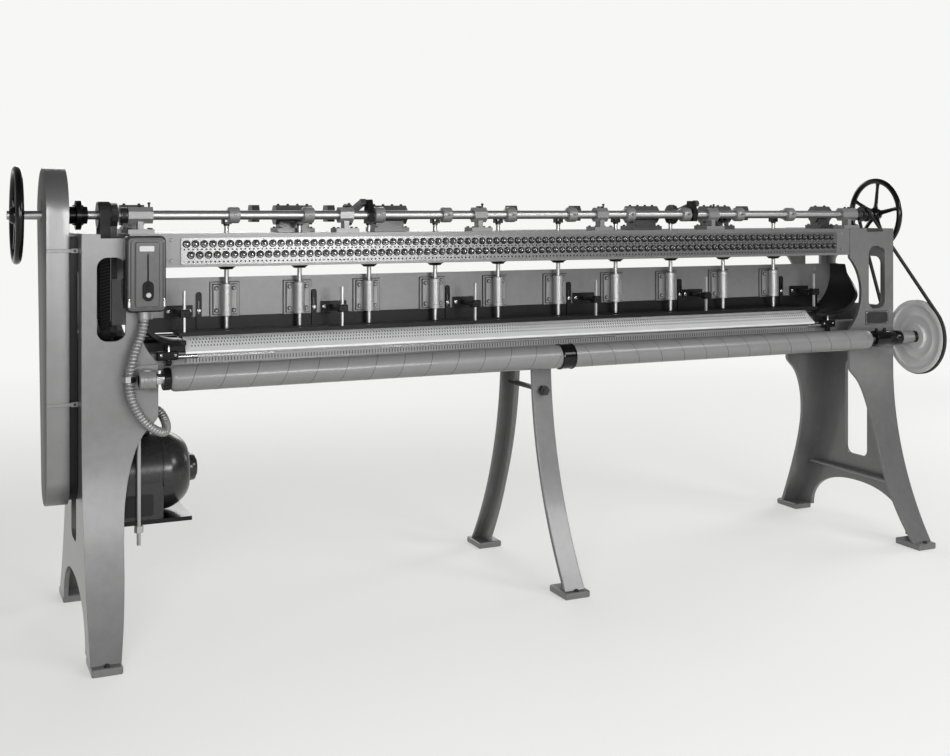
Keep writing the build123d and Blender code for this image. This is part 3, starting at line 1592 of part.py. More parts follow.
with BuildPart() as looper_bearings:
    for place_x in looper_bearing_x:
        with BuildSketch(facing_x(place_x - looper_bearing_width / 2)):
            with Locations((looper_y, (trough_low + trough_wall + looper_z + 20) / 2)):
                Rectangle(40, looper_z + 20 - trough_low - trough_wall)
            with Locations((looper_y, looper_z)):
                RegularPolygon(
                    looper_radius + running_gap, bore_sides, major_radius=False, mode=Mode.SUBTRACT
                )
        extrude(amount=looper_bearing_width)
looper_bearings.part.label = "looper_bearings"
export_step(looper_bearings.part, "parts/looper_bearings.step")

with BuildPart() as looper_shaft:
    with BuildSketch(facing_x(looper_arm_x)):
        with Locations((looper_y, looper_z)):
            RegularPolygon(looper_radius, barrel_sides)
    extrude(amount=looper_right_end - looper_arm_x)
    # The driven arm is keyed to the shaft's left end
    with BuildSketch(facing_x(looper_arm_x)):
        with BuildLine():
            Polyline(
                (looper_y + 12, looper_z - 17),
                (looper_y + 18, looper_z + 10),
                (looper_y + 2, looper_z + 19),
                (eccentric_y - 4, looper_pin_z + 10),
                (eccentric_y - 9, looper_pin_z - 8),
                (looper_y - 14, looper_z - 16),
                close=True,
            )
        make_face()
    extrude(amount=looper_arm_width)
looper_shaft.part.label = "looper_shaft"
export_step(looper_shaft.part, "parts/looper_shaft.step")

with BuildPart() as looper_bar:
    with BuildSketch(facing_x(-looper_bar_end)):
        with Locations((looper_bar_y, looper_bar_z)):
            Rectangle(12, 12)
    extrude(amount=2 * looper_bar_end)
    for place_x in looper_hanger_x:
        with BuildSketch(facing_x(place_x - 7)):
            with BuildLine():
                Polyline(
                    (looper_y + 16, looper_z - 8),
                    (looper_y + 12, looper_z + 12),
                    (looper_y - 10, looper_z + 16),
                    (looper_bar_y + 4, looper_bar_z + 6),
                    (looper_bar_y + 4, looper_bar_z - 6),
                    (looper_y - 6, looper_z - 18),
                    close=True,
                )
            make_face()
            with Locations((looper_y, looper_z)):
                RegularPolygon(looper_radius, barrel_sides, major_radius=False, mode=Mode.SUBTRACT)
        extrude(amount=14)
looper_bar.part.label = "looper_bar"
export_step(looper_bar.part, "parts/looper_bar.step")
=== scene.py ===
import bmesh
import bpy
import json
from math import atan2, cos, pi, radians, sin, sqrt
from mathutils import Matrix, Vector


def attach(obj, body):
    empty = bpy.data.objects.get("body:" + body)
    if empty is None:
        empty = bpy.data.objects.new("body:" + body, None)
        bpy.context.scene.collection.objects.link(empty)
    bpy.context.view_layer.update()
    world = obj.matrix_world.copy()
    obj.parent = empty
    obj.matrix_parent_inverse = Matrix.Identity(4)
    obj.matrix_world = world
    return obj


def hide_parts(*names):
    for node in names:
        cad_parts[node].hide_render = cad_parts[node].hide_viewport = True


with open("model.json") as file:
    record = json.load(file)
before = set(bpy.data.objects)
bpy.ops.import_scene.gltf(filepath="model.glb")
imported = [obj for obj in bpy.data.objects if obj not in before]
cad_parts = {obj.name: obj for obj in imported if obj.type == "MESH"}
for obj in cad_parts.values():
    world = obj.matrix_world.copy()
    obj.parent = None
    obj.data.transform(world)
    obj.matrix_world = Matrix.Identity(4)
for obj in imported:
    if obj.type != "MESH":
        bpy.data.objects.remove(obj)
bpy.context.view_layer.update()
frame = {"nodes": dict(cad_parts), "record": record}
NODES = frame["nodes"]


def shown(name, data):
    """A new object in the scene that shows the data."""
    obj = bpy.data.objects.new(name, data)
    bpy.context.scene.collection.objects.link(obj)
    return obj


# Camera at the photograph's place
cam_data = bpy.data.cameras.new("camera")
cam = shown("camera", cam_data)
cam.location = (-1.874, -3.715, 1.226)
cam.rotation_euler = (radians(90), 0, radians(-24.71))
cam_data.sensor_width = 36
cam_data.lens = 46.05
cam_data.shift_y = -0.175
cam_data.clip_end = 60
bpy.context.scene.camera = cam


def node(tree, kind, values=None, **settings):
    """Adds a shader node; its inputs take values, or links where a socket or a node is given."""
    new = tree.nodes.new("ShaderNode" + kind)
    for key, value in settings.items():
        setattr(new, key, value)
    for key, value in (values or {}).items():
        if isinstance(value, bpy.types.Node):
            value = value.outputs[0]
        if isinstance(value, bpy.types.NodeSocket):
            tree.links.new(value, new.inputs[key])
        else:
            new.inputs[key].default_value = value
    return new


def ramp(tree, source, stops):
    """Adds a grey colour ramp from (position, level) stops."""
    new = node(tree, "ValToRGB", {"Fac": source})
    marks = new.color_ramp.elements
    while len(marks) < len(stops):
        marks.new(0.5)
    for mark, (position, level) in zip(marks, stops):
        mark.position = position
        mark.color = (level, level, level, 1)
    return new


def empty_tree(owner):
    """The cleared node tree of a material or a world."""
    owner.use_nodes = True
    owner.node_tree.nodes.clear()
    return owner.node_tree


def material(name, grey, rough, metallic, coat, spec, vary, grain, bump, bump_scale, rough_vary=0.08):
    """Uneven grey and gloss from noise, with a fine bump."""
    mat = bpy.data.materials.new(name)
    tree = empty_tree(mat)
    spot = node(tree, "TexCoord").outputs["Object"]
    broad = node(tree, "TexNoise", {"Vector": spot, "Scale": grain / 12, "Detail": 5, "Roughness": 0.6})
    fine = node(tree, "TexNoise", {"Vector": spot, "Scale": grain, "Detail": 6})
    mix = node(tree, "Mix", {0: 0.4, 2: broad, 3: fine}, data_type="FLOAT")
    wear = node(tree, "MapRange", {"Value": mix, "To Min": max(0.02, rough - rough_vary),
                                   "To Max": min(1.0, rough + rough_vary)})
    bsdf = node(tree, "BsdfPrincipled", {
        "Base Color": ramp(tree, mix, [(0.3, grey * (1 - vary)), (0.7, min(1, grey * (1 + vary)))]),
        "Roughness": wear, "Metallic": metallic, "Coat Weight": coat, "Coat Roughness": 0.12,
        "Specular IOR Level": spec})
    if bump:
        pores = node(tree, "TexNoise", {"Vector": spot, "Scale": bump_scale, "Detail": 4})
        relief = node(tree, "Bump", {"Height": pores, "Strength": bump, "Distance": 0.002})
        tree.links.new(relief.outputs[0], bsdf.inputs["Normal"])
    node(tree, "OutputMaterial", {"Surface": bsdf})
    return mat


# Grey, roughness, metallic, coat, specular, variation, grain, bump, its scale and, in some, gloss variation
LOOKS = {
    "enamel": (0.175, 0.34, 0.3, 0.4, 0.5, 0.13, 40, 0.13, 240),
    "black_gloss": (0.004, 0.16, 0, 0.12, 0.22, 0.3, 60, 0.04, 200),
    "polished_steel": (0.56, 0.24, 1, 0, 0.5, 0.03, 40, 0, 220, 0.02),
    "dark_steel": (0.05, 0.32, 0.7, 0, 0.5, 0.25, 120, 0.06, 400),
    "needle_steel": (0.86, 0.42, 0.15, 0, 0.5, 0.06, 160, 0.02, 700),
    "guard_paint": (0.205, 0.34, 0.6, 0.2, 0.5, 0.08, 24, 0.02, 120),
    "guard_face": (0.14, 0.45, 0, 0, 0.2, 0.1, 24, 0.02, 120),
    "black_iron": (0.006, 0.34, 0, 0.05, 0.2, 0.35, 90, 0.08, 320),
    "roll_cover": (0.22, 0.36, 0, 0.25, 0.5, 0.08, 200, 0.06, 1200),
    "belt_rubber": (0.01, 0.6, 0, 0, 0.5, 0.25, 120, 0.2, 800),
    "cover_paint": (0.075, 0.26, 0, 0.25, 0.5, 0.15, 50, 0.05, 220),
    "conduit_steel": (0.3, 0.42, 0.55, 0, 0.5, 0.15, 200, 0.04, 600),
    "button_plastic": (0.5, 0.25, 0, 0.4, 0.5, 0.08, 300, 0.03, 800),
    "sheave_iron": (0.7, 0.34, 0.25, 0.3, 0.5, 0.05, 30, 0.02, 160),
    "dark_casting": (0.035, 0.34, 0, 0.3, 0.5, 0.25, 80, 0.12, 300),
    "cast_light": (0.24, 0.34, 0.2, 0.3, 0.5, 0.12, 80, 0.12, 300),
    "board_steel": (0.22, 0.27, 0.9, 0, 0.5, 0.03, 12, 0, 220, 0.02),
    "disc_steel": (0.07, 0.16, 0.9, 0.15, 0.5, 0.2, 200, 0.02, 600),
    "rib_grey": (0.07, 0.5, 0, 0, 0.5, 0.15, 90, 0.1, 400),
    "plate_black": (0.015, 0.3, 0, 0.3, 0.5, 0.2, 120, 0.05, 500),
    # near-black look that paints the shade inside holes, slots, grooves and recesses, and painted shadow
    # outlines
    "painted_shade_dark": (0.008, 0.8, 0, 0, 0.5, 0.3, 200, 0.05, 500),
    "label_white": (0.62, 0.5, 0, 0, 0.5, 0.06, 150, 0.03, 600),
    "comb_steel": (0.3, 0.36, 0.4, 0, 0.5, 0.06, 160, 0.02, 700),
    "housing_paint": (0.08, 0.3, 0, 0.35, 0.5, 0.2, 60, 0.1, 260),
    "motor_paint": (0.018, 0.27, 0, 0.25, 0.4, 0.25, 60, 0.05, 200),
    "rod_steel": (0.46, 0.38, 0.9, 0, 0.5, 0.03, 40, 0, 220, 0.02),
    "barrel_steel": (0.42, 0.32, 0.5, 0.2, 0.5, 0.06, 80, 0.05, 300),
    "seam_dark": (0.05, 0.6, 0, 0, 0.5, 0.2, 900, 0.2, 1800),
}
M = {name: material(name, *look) for name, look in LOOKS.items()}

# Every CAD node takes its slot's material or the look listed for it below, soft edges from a bevel where a
# width is listed, and smooth shading
SLOT_OF = {s["node"]: s["material_slot"] for s in frame["record"]["subparts"]}
LOOK_NODES = {
    "barrel_steel": ("hanger_rod",),
    "black_gloss": ("flange_coupling",),
    # needle_bar and presser_bar take black_iron, darker than their steel, as painted shade of the trough
    # under the rail
    "black_iron": ("rail_strip", "needle_bar", "presser_bar", "slotted_bars"),
    "board_steel": ("tension_plate",),
    "cast_light": ("rocker_caps", "rocker_pedestals"),
    "comb_steel": ("lower_comb",),
    "dark_casting": ("needle_connecting_rods", "looper_connecting_rod", "counterweights"),
    "housing_paint": ("main_shaft_housings",),
    "rod_steel": ("presser_rods", "main_shaft"),
}
# Edge rounding in millimetres
BEVEL_NODES = {
    5: ("left_end_frame", "right_end_frame"),
    4: ("middle_leg_front", "middle_leg_rear"),
    2.5: ("head_beam", "bed_trough", "left_bed_bracket", "right_bed_bracket", "main_shaft_housings"),
    2: ("rocker_pedestals", "rocker_caps", "motor_base", "switch_box", "switch_cover", "looper_bearings",
        "counterweights", "drive_arms", "needle_connecting_rods", "looper_connecting_rod", "roll_bearings"),
    1.5: ("guide_rail", "rail_strip", "presser_brackets", "cloth_guide_rail", "rocker_arms"),
    1.2: ("push_rod_guides", "belt_guard"),
    1: ("presser_bar", "guard_straps", "button_station", "needle_bar", "looper_bar"),
    0.8: ("slotted_bars", "tension_plate"),
    0.6: ("needle_plate", "lower_comb", "conduit_clip"),
    0.5: ("leg_tie_rod",),
}
NODE_LOOK = {name: look for look, names in LOOK_NODES.items() for name in names}
BEVEL = {name: width for width, names in BEVEL_NODES.items() for name in names}


def round_edges(obj, width, segments):
    """Bevels the sharp edges, width in millimetres."""
    mod = obj.modifiers.new("edge", "BEVEL")
    mod.width = width / 1000
    mod.segments = segments
    mod.limit_method = "ANGLE"
    mod.angle_limit = radians(38)


for name, obj in NODES.items():
    obj.data.materials.clear()
    obj.data.materials.append(M[NODE_LOOK.get(name, SLOT_OF[name])])
    if name in BEVEL:
        round_edges(obj, BEVEL[name], 3)
    obj.data.shade_smooth()
    obj.data.set_sharp_from_angle(angle=radians(32))

# Mesh building in millimetres; the shaft's middle lies this far from the frame's
SHIFT_X = 22.0


def link_mesh(name, verts, faces):
    """A new object in the scene from vertices in millimetres."""
    me = bpy.data.meshes.new(name)
    me.from_pydata([((x + SHIFT_X) / 1000, y / 1000, z / 1000) for x, y, z in verts], [], faces)
    return shown(name, me)


def flip_fix(obj):
    """Makes all faces look outward."""
    bm = bmesh.new()
    bm.from_mesh(obj.data)
    bmesh.ops.recalc_face_normals(bm, faces=bm.faces)
    bm.to_mesh(obj.data)
    bm.free()
    return obj


def skin(rows, n):
    """The faces of a skin through rows of n points, each row closed."""
    return [(k * n + i, k * n + (i + 1) % n, (k + 1) * n + (i + 1) % n, (k + 1) * n + i)
            for k in range(rows - 1) for i in range(n)]


def caps(rows, n):
    """The two end faces of that skin."""
    return [tuple(reversed(range(n))), tuple(range((rows - 1) * n, rows * n))]


def wound(ring):
    """The ring in counter-clockwise order."""
    area2 = sum(a[0] * b[1] - b[0] * a[1] for a, b in zip(ring, ring[1:] + ring[:1]))
    return ring[::-1] if area2 < 0 else ring


def inset(ring, d):
    """The ring moved inward by d."""
    if not d:
        return ring
    out = []
    for (ax, ay), (bx, by), (cx, cy) in zip(ring[-1:] + ring[:-1], ring, ring[1:] + ring[:1]):
        ux, uy, wx, wy = bx - ax, by - ay, cx - bx, cy - by
        lu = sqrt(ux * ux + uy * uy) or 1
        lw = sqrt(wx * wx + wy * wy) or 1
        nx, ny = -uy / lu - wy / lw, ux / lu + wx / lw
        k = max(1 + (uy * wy + ux * wx) / (lu * lw), 0.35)
        out.append((bx + d * nx / k, by + d * ny / k))
    return out


def place(along, p, q, at, axis):
    """The point at (along, p, q) of an axis through the point at."""
    x, y, z = at
    if axis == "X":
        return (x + along, y + p, z + q)
    if axis == "Y":
        return (x + q, y + along, z + p)
    return (x + p, y + q, z + along)


def both_ways(half):
    """A lathe profile from its negative half."""
    return half + [(-along, r) for along, r in reversed(half)]


class Shape:
    """Collects verts and faces, then becomes one object."""

    def __init__(self):
        self.v = []
        self.f = []

    def add(self, verts, faces):
        start = len(self.v)
        self.v.extend(verts)
        self.f.extend([tuple(i + start for i in face) for face in faces])

    def lathe(self, profile, at, axis, sides, turn=0.0):
        """Turns (along, radius) pairs round an axis through the point at."""
        rings = []
        verts = []
        for along, r in profile:
            count = 1 if r <= 1e-6 else sides
            rings.append([len(verts) + k for k in range(count)])
            for k in range(count):
                a = 2 * pi * k / sides + turn
                verts.append(place(along, r * cos(a), r * sin(a), at, axis))
        faces = []
        for one, two in zip(rings, rings[1:]):
            for k in range(sides):
                corners = (one[k % len(one)], one[(k + 1) % len(one)], two[(k + 1) % len(two)],
                           two[k % len(two)])
                face = tuple(dict.fromkeys(corners))
                if len(face) > 2:
                    faces.append(face)
        if len(rings[0]) > 1:
            faces.append(tuple(reversed(rings[0])))
        if len(rings[-1]) > 1:
            faces.append(tuple(rings[-1]))
        self.add(verts, faces)

    def layers(self, ring, levels, axis):
        """A solid through the ring at each level along axis, cut back there by the level's second number."""
        verts = [place(level, p, q, (0, 0, 0), axis) for level, d in levels for p, q in inset(ring, d)]
        self.add(verts, skin(len(levels), len(ring)) + caps(len(levels), len(ring)))

    def prism(self, outline, low, high, axis="X", cut=0.0):
        """An outline in the two other axes, pulled along axis, with its rims cut back by cut."""
        low, high = sorted((low, high))
        levels = [(low, 0), (high, 0)]
        if cut:
            levels = [(low, cut), (low + cut, 0), (high - cut, 0), (high, cut)]
        self.layers(wound(outline), levels, axis)

    def block(self, one, other, cut=0.0):
        """A block between two corners, with its long edges and rims cut back."""
        (x0, x1), (y0, y1), (z0, z1) = (sorted(two) for two in zip(one, other))
        outline = [(y0 + cut, z0), (y1 - cut, z0), (y1, z0 + cut), (y1, z1 - cut), (y1 - cut, z1),
                   (y0 + cut, z1), (y0, z1 - cut), (y0, z0 + cut)]
        self.prism(outline if cut else outline[::2], x0, x1, "X", cut)

    def pair(self, side, x0, x1, y0, y1, z0, z1, cut=0.0):
        """A block between two distances from the middle, on the side -1 or 1."""
        self.block((side * x0, y0, z0), (side * x1, y1, z1), cut)

    def bolt(self, at, toward, r, h, washer=True):
        """A hexagon head on a washer, its head pointing along toward."""
        way = 1 if toward[0] == "+" else -1
        if washer:
            self.lathe([(0, r * 1.25), (way * 0.9, r * 1.25), (way * 1.1, r * 1.15)], at, toward[1], 16)
        self.lathe([(0, r), (way * h * 0.8, r), (way * h, r * 0.82)], at, toward[1], 6, 0.3)

    def screw(self, at, toward, r, h):
        """A round-headed screw."""
        way = 1 if toward[0] == "+" else -1
        profile = [(0, r), (way * h * 0.55, r * 0.92), (way * h * 0.9, r * 0.6), (way * h, 0)]
        self.lathe(profile, at, toward[1], 12)

    def tube(self, points, radii, sides):
        """A round tube along points, with a radius at each point."""
        verts = []
        pts = [Vector(p) for p in points]
        side = None
        for i, p in enumerate(pts):
            t = (pts[min(i + 1, len(pts) - 1)] - pts[max(i - 1, 0)]).normalized()
            if side is None:
                side = t.cross(Vector((0.13, 0.91, 0.39))).normalized()
            else:
                side = (side - t * side.dot(t)).normalized()
            b = t.cross(side)
            for k in range(sides):
                a = 2 * pi * k / sides
                verts.append(tuple(p + side * (radii[i] * cos(a)) + b * (radii[i] * sin(a))))
        self.add(verts, skin(len(pts), sides) + caps(len(pts), sides))

    def make(self, name, mat, body="machine", replaces=None, angle=35, bevel=0.0, slot=None, closed=True):
        """Turns the shape into a piece that rides on a body."""
        obj = link_mesh(name, self.v, self.f)
        me = obj.data
        me.validate()
        me.materials.append(M[mat])
        me.shade_smooth()
        me.set_sharp_from_angle(angle=radians(angle))
        if bevel:
            round_edges(obj, bevel, 2)
        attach(obj, body)
        if replaces:
            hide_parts(replaces)
        if closed:
            flip_fix(obj)


def wheel_rim(shape, at, big, half_along, half_radial):
    """A closed ring of oval section round X."""
    around, sides = 72, 16
    verts = []
    for i in range(around):
        a = 2 * pi * i / around
        for k in range(sides):
            b = 2 * pi * k / sides
            r = big + half_radial * cos(b)
            verts.append(place(half_along * sin(b), r * cos(a), r * sin(a), at, "X"))
    count = around * sides
    shape.add(verts, [tuple(i % count for i in face) for face in skin(around + 1, sides)])


def spoke(shape, at, angle, r0, r1, wide0, wide1, thick0, thick1):
    """A tapered oval spoke in a wheel that turns round X, with small flares at both ends."""
    sides, steps, flare, flared = 14, 9, 5.0, 0.22
    verts = []
    for i in range(steps + 1):
        t = i / steps
        r = r0 + (r1 - r0) * t
        grow = flare * ((max(0, flared - t) / flared) ** 2 + (max(0, t - 1 + flared) / flared) ** 2)
        w = (wide0 + (wide1 - wide0) * t) / 2 + grow
        h = (thick0 + (thick1 - thick0) * t) / 2 + grow * 0.35
        for k in range(sides):
            b = 2 * pi * k / sides
            p = w * cos(b)
            across = (r * cos(angle) - p * sin(angle), r * sin(angle) + p * cos(angle))
            verts.append(place(h * sin(b), *across, at, "X"))
    shape.add(verts, skin(steps + 1, sides) + caps(steps + 1, sides))


def rounded(cx, cz, w, h, r, steps=5):
    """A rounded rectangle as (x, z) pairs."""
    out = []
    for sx, sz, a0 in ((1, 1, 0), (-1, 1, 90), (-1, -1, 180), (1, -1, 270)):
        for k in range(steps + 1):
            a = radians(a0 + 90 * k / steps)
            out.append((cx + sx * (w / 2 - r) + r * cos(a), cz + sz * (h / 2 - r) + r * sin(a)))
    return out


def plate(shape, outline_xz, y_back, y_front, cut=0.0):
    """A plate that faces the operator, its outline in X and Z and its front rim cut back."""
    levels = [(y_back, 0), (y_front + cut, 0)] + ([(y_front, cut)] if cut else [])
    shape.layers(wound([(z, x) for x, z in outline_xz]), levels, "Y")


def band(shape, levels):
    """An open skin through outlines of equal length, one per (x, outline)."""
    verts = [(x, y, z) for x, ring in levels for y, z in ring]
    shape.add(verts, skin(len(levels), len(levels[0][1])))


def carve(base, cutters):
    """The base shape with the cutters taken out of it."""
    body = flip_fix(link_mesh("casting", base.v, base.f))
    tools = [flip_fix(link_mesh("cutter", c.v, c.f)) for c in cutters]
    for tool in tools:
        mod = body.modifiers.new("cut", "BOOLEAN")
        mod.operation = "DIFFERENCE"
        mod.solver = "EXACT"
        mod.object = tool
    graph = bpy.context.evaluated_depsgraph_get()
    graph.update()
    result = bpy.data.meshes.new_from_object(body.evaluated_get(graph))
    for obj in [body] + tools:
        bpy.data.objects.remove(obj, do_unlink=True)
    out = Shape()
    out.add([(v.co.x * 1000 - SHIFT_X, v.co.y * 1000, v.co.z * 1000) for v in result.vertices],
            [tuple(poly.vertices) for poly in result.polygons])
    bpy.data.meshes.remove(result)
    return out


def bow(start, end):
    """Points on the arc that leaves start straight down and ends at end, as (y, z)."""
    steps = 22
    across = abs(end[0] - start[0])
    drop = start[1] - end[1]
    r = (across ** 2 + drop ** 2) / (2 * across)
    way = 1 if end[0] > start[0] else -1
    out = []
    for k in range(steps + 1):
        z = start[1] - drop * k / steps
        out.append((start[0] + way * (r - sqrt(r * r - (start[1] - z) ** 2)), z))
    return out


def hull(c1, r1, c2, r2, steps):
    """Outline (y, z) round two circles, the first above the second."""
    dy, dz = c1[0] - c2[0], c1[1] - c2[1]
    base_a = atan2(dz, dy)
    tilt = (r1 - r2) / sqrt(dy * dy + dz * dz)
    half = pi / 2 + atan2(tilt, sqrt(1 - tilt * tilt))
    out = []
    for (cy, cz), r, start, sweep in ((c1, r1, base_a - half, half), (c2, r2, base_a + half, pi - half)):
        for k in range(steps + 1):
            a = start + 2 * sweep * k / steps
            out.append((cy + r * cos(a), cz + r * sin(a)))
    return out


# Measures that several pieces share
SHAFT_Y, SHAFT_Z = 30.0, 1216.0  # main shaft; the rocker shaft has the same height
ROCKER_Y = -120.0
ROD_Y = -30.0
RODS = [-1035.0 + 230.0 * i for i in range(10)]
DECK = 1175.0  # top of the pedestals' and housings' feet
PEDESTALS = [(-1308.0, 70), (-685.8, 44), (-228.6, 44), (228.6, 44), (685.8, 44), (1308.0, 70)]
HOUSINGS = [(-1308.0, 70), (-810.0, 120), (-489.0, 120), (489.0, 120), (810.0, 120), (1308.0, 70)]
INCH = 25.4
PLACES = 94  # discs in a row, and needles
BOARD_Y = -187.0
ROLL = (0, -255, 757)
MY, MZ = -40.0, 460.0  # motor
FOOT = 22.0
MID_X = 8.0  # middle legs
BOX_FACES = [(0, 1, 2, 3), (7, 6, 5, 4), (0, 4, 5, 1), (1, 5, 6, 2), (2, 6, 7, 3), (3, 7, 4, 0)]

# Handwheels
s = Shape()
for wx, phase in ((-1632.0, 0.35), (1588.0, 0.436)):
    at = (wx, SHAFT_Y, SHAFT_Z)
    wheel_rim(s, at, 132.5, 11.5, 10.5)
    s.lathe(both_ways([(-20, 17), (-19, 20), (-15, 22.5), (-7, 26)]), at, "X", 40)
    for k in range(5):
        spoke(s, at, phase + 2 * pi * k / 5, 22, 126, 19, 13, 11, 9)
s.make("handwheel_castings", "black_gloss", "main_shaft_body", replaces="handwheels", angle=40)

# Shaft pulleys and coupling
GUARD_PULLEY = (-1552, -1516)


def vee(shape, sides, radius, hub, y, z):
    """A V-belt pulley between two sides."""
    left, right = sides
    depth, land = 9.0, 2.0
    mid = (left + right) / 2
    shape.lathe([(left, hub), (left, radius - 1), (left + 1, radius), (left + land, radius),
                 (mid - 2, radius - depth), (mid + 2, radius - depth), (right - land, radius),
                 (right - 1, radius), (right, radius - 1), (right, hub)], (0, y, z), "X", 64)


s = Shape()
vee(s, GUARD_PULLEY, 116, 30, SHAFT_Y, SHAFT_Z)
vee(s, (1513, 1541), 30, 15, SHAFT_Y, SHAFT_Z)
s.lathe(both_ways([(-18.5, 39), (-15.5, 39), (-15.2, 36)]), (-1389.5, SHAFT_Y, SHAFT_Z), "X", 48)
s.make("pulley_wheels", "dark_steel", "main_shaft_body", replaces="shaft_pulleys")
s = Shape()
s.lathe(both_ways([(-26, 24), (-25, 26), (-9, 26), (-8, 42), (-7, 44), (-0.8, 44), (-0.7, 43)]),
        (-1462, SHAFT_Y, SHAFT_Z), "X", 48)
for k in range(4):
    a = pi / 4 + k * pi / 2
    for x, way in ((-1454, "+X"), (-1470, "-X")):
        s.bolt((x, SHAFT_Y + 35 * cos(a), SHAFT_Z + 35 * sin(a)), way, 5, 5)
s.make("coupling_halves", "black_gloss", "main_shaft_body", replaces="flange_coupling")

# Rocker shaft with its collars
s = Shape()
s.lathe(both_ways([(-1367, 12.5), (-1365.5, 14)]), (0, ROCKER_Y, SHAFT_Z), "X", 40)
s.make("rocker_shaft_bar", "rod_steel", "rocker", replaces="rocker_shaft", slot="polished_steel")
s = Shape()
for side in (-1, 1):
    s.lathe(both_ways([(-10, 20.5), (-9, 22)]), (side * 1354, ROCKER_Y, SHAFT_Z), "X", 36)
    s.screw((side * 1354, ROCKER_Y - 22, SHAFT_Z), "-Y", 4, 3)
s.make("rocker_collars", "dark_steel", "rocker")

# Rocker arms: round clamped hubs and forked arms
s = Shape()
arm = [(-120, 1194), (-104, 1196), (-58, 1204), (-42, 1205), (-18, 1205), (-18, 1209.8), (-38, 1209.8),
       (-38, 1222.2), (-18, 1222.2), (-18, 1227), (-42, 1227), (-58, 1228), (-104, 1236), (-120, 1238)]
t = Shape()
for rx in RODS:
    s.prism(arm, rx - 5, rx + 5, "X", 1.2)
    s.lathe(both_ways([(-17, 21), (-15.5, 23.6), (-13, 24.5)]), (rx, ROCKER_Y, SHAFT_Z), "X", 36)
    t.lathe([(0.4, 4.2), (-0.6, 4.0), (-0.7, 2.4), (0.2, 2.2), (0.2, 0)],
            (rx, -144.4, SHAFT_Z + 1), "Y", 14)
s.make("rocker_arm_castings", "cast_light", "rocker", replaces="rocker_arms", slot="enamel")
t.make("rocker_arm_screws", "dark_steel", "rocker")

# Push rods with their heads and clamp collars
s = Shape()
for rx in RODS:
    s.lathe([(870, 6), (871, 7), (1189, 7)], (rx, ROD_Y, 0), "Z", 24)
s.make("push_rod_bars", "rod_steel", "needle_carriage", replaces="push_rods", slot="polished_steel")
s = Shape()
for rx in RODS:
    s.block((rx - 14, -41, 1188), (rx + 14, -19, 1195), 1.0)
    for side in (-1, 1):
        s.prism([(-41, 1193), (-19, 1193), (-19, 1221), (-22, 1226), (-27, 1228), (-33, 1228), (-38, 1226),
                 (-41, 1221)], rx + side * 6.2, rx + side * 14, "X", 0.9)
    s.lathe(both_ways([(-14.5, 4), (-14.5, 6.5)]), (rx, ROD_Y, SHAFT_Z), "X", 20)
    s.lathe([(1183, 8.5), (1184, 9.5), (1187, 9.5), (1188, 8.5)], (rx, ROD_Y, 0), "Z", 24)
s.make("push_rod_heads", "dark_steel", "needle_carriage")

# Guides of the push rods: backing plate, flange with four bolts, split barrel, and painted shadow outlines:
# thin dark sheets round the backing plate and the flange, dark rings under the bolts
s, t, b, w, g = Shape(), Shape(), Shape(), Shape(), Shape()
for rx in RODS:
    # Painted shadow outlines: dark sheets just larger than the plates, dark rings under the bolts
    w.block((rx - 46.4, -3.2, 904.1), (rx + 46.4, -2.1, 1011.9))
    w.block((rx - 38.4, -8.0, 910.6), (rx + 38.4, -6.8, 1005.4))
    for x in (rx - 27, rx + 27):
        for z in (924, 992):
            w.lathe([(-12.8, 7.2), (-13.6, 7.0)], (x, 0, z), "Y", 18)
            b.bolt((x, -13.6, z), "-Y", 5.0, 4.0, washer=False)
    s.block((rx - 45, -7, 905.5), (rx + 45, -2.2, 1010.5), 1.2)
    t.block((rx - 37, -13, 912), (rx + 37, -7, 1004), 1.8)
    g.lathe([(908.5, 14.5), (910, 17), (921, 17), (922, 15.6), (994, 15.6), (995, 17), (1006, 17),
             (1007.5, 14.5)], (rx, ROD_Y, 0), "Z", 40)
    t.block((rx - 9, -26, 914), (rx + 9, -11, 1002), 2.0)
    for z in (975, 941):
        b.screw((rx + 4, -45.2, z), "-Y", 2.2, 1.8)
s.make("guide_backings", "enamel")
t.make("guide_flanges", "cast_light", replaces="push_rod_guides", slot="enamel")
g.make("guide_barrels", "barrel_steel", slot="enamel")
b.make("guide_bolts", "cast_light", angle=30, slot="enamel")
w.make("guide_painted_shadow_rims", "painted_shade_dark", angle=30, slot="black_iron")

# Dark strip along the rail's lower edge: painted shade of the trough under the rail
s = Shape()
s.block((-1267, -4.6, 862.2), (1267, -1.9, 907), 0.6)
s.make("rail_edge_painted_shade", "black_iron")

# Tension discs: two dished discs, a cone spring and a thumb nut on each post
s, t, b = Shape(), Shape(), Shape()
for row, z in enumerate((1133.0, 1101.0)):
    for k in range(PLACES):
        x = (k - (PLACES - 1) / 2) * INCH + (INCH / 4 if row else -INCH / 4)
        at = (x, BOARD_Y, z)
        s.lathe([(-0.2, 10.4), (-0.8, 11), (-2.2, 8.0), (-3.6, 11), (-4.2, 10.7), (-3.4, 9.3), (-2.4, 8.6),
                 (-2.2, 3.2)], at, "Y", 20)
        t.lathe([(-2.8, 6.6), (-4.0, 6.2), (-4.3, 5.0), (-5.4, 5.2), (-5.7, 4.0), (-6.6, 4.2), (-6.8, 3.8),
                 (-9.6, 3.8), (-10.2, 3.0), (-10.2, 1.0)], at, "Y", 12)
        b.lathe([(-10.1, 2.0), (-12.5, 1.8), (-12.8, 0)], at, "Y", 10)
s.make("tension_disc_pairs", "disc_steel", replaces="tension_discs", angle=40, slot="polished_steel")
t.make("tension_springs", "disc_steel", angle=40, slot="polished_steel")
b.make("tension_post_tips", "polished_steel", angle=40)
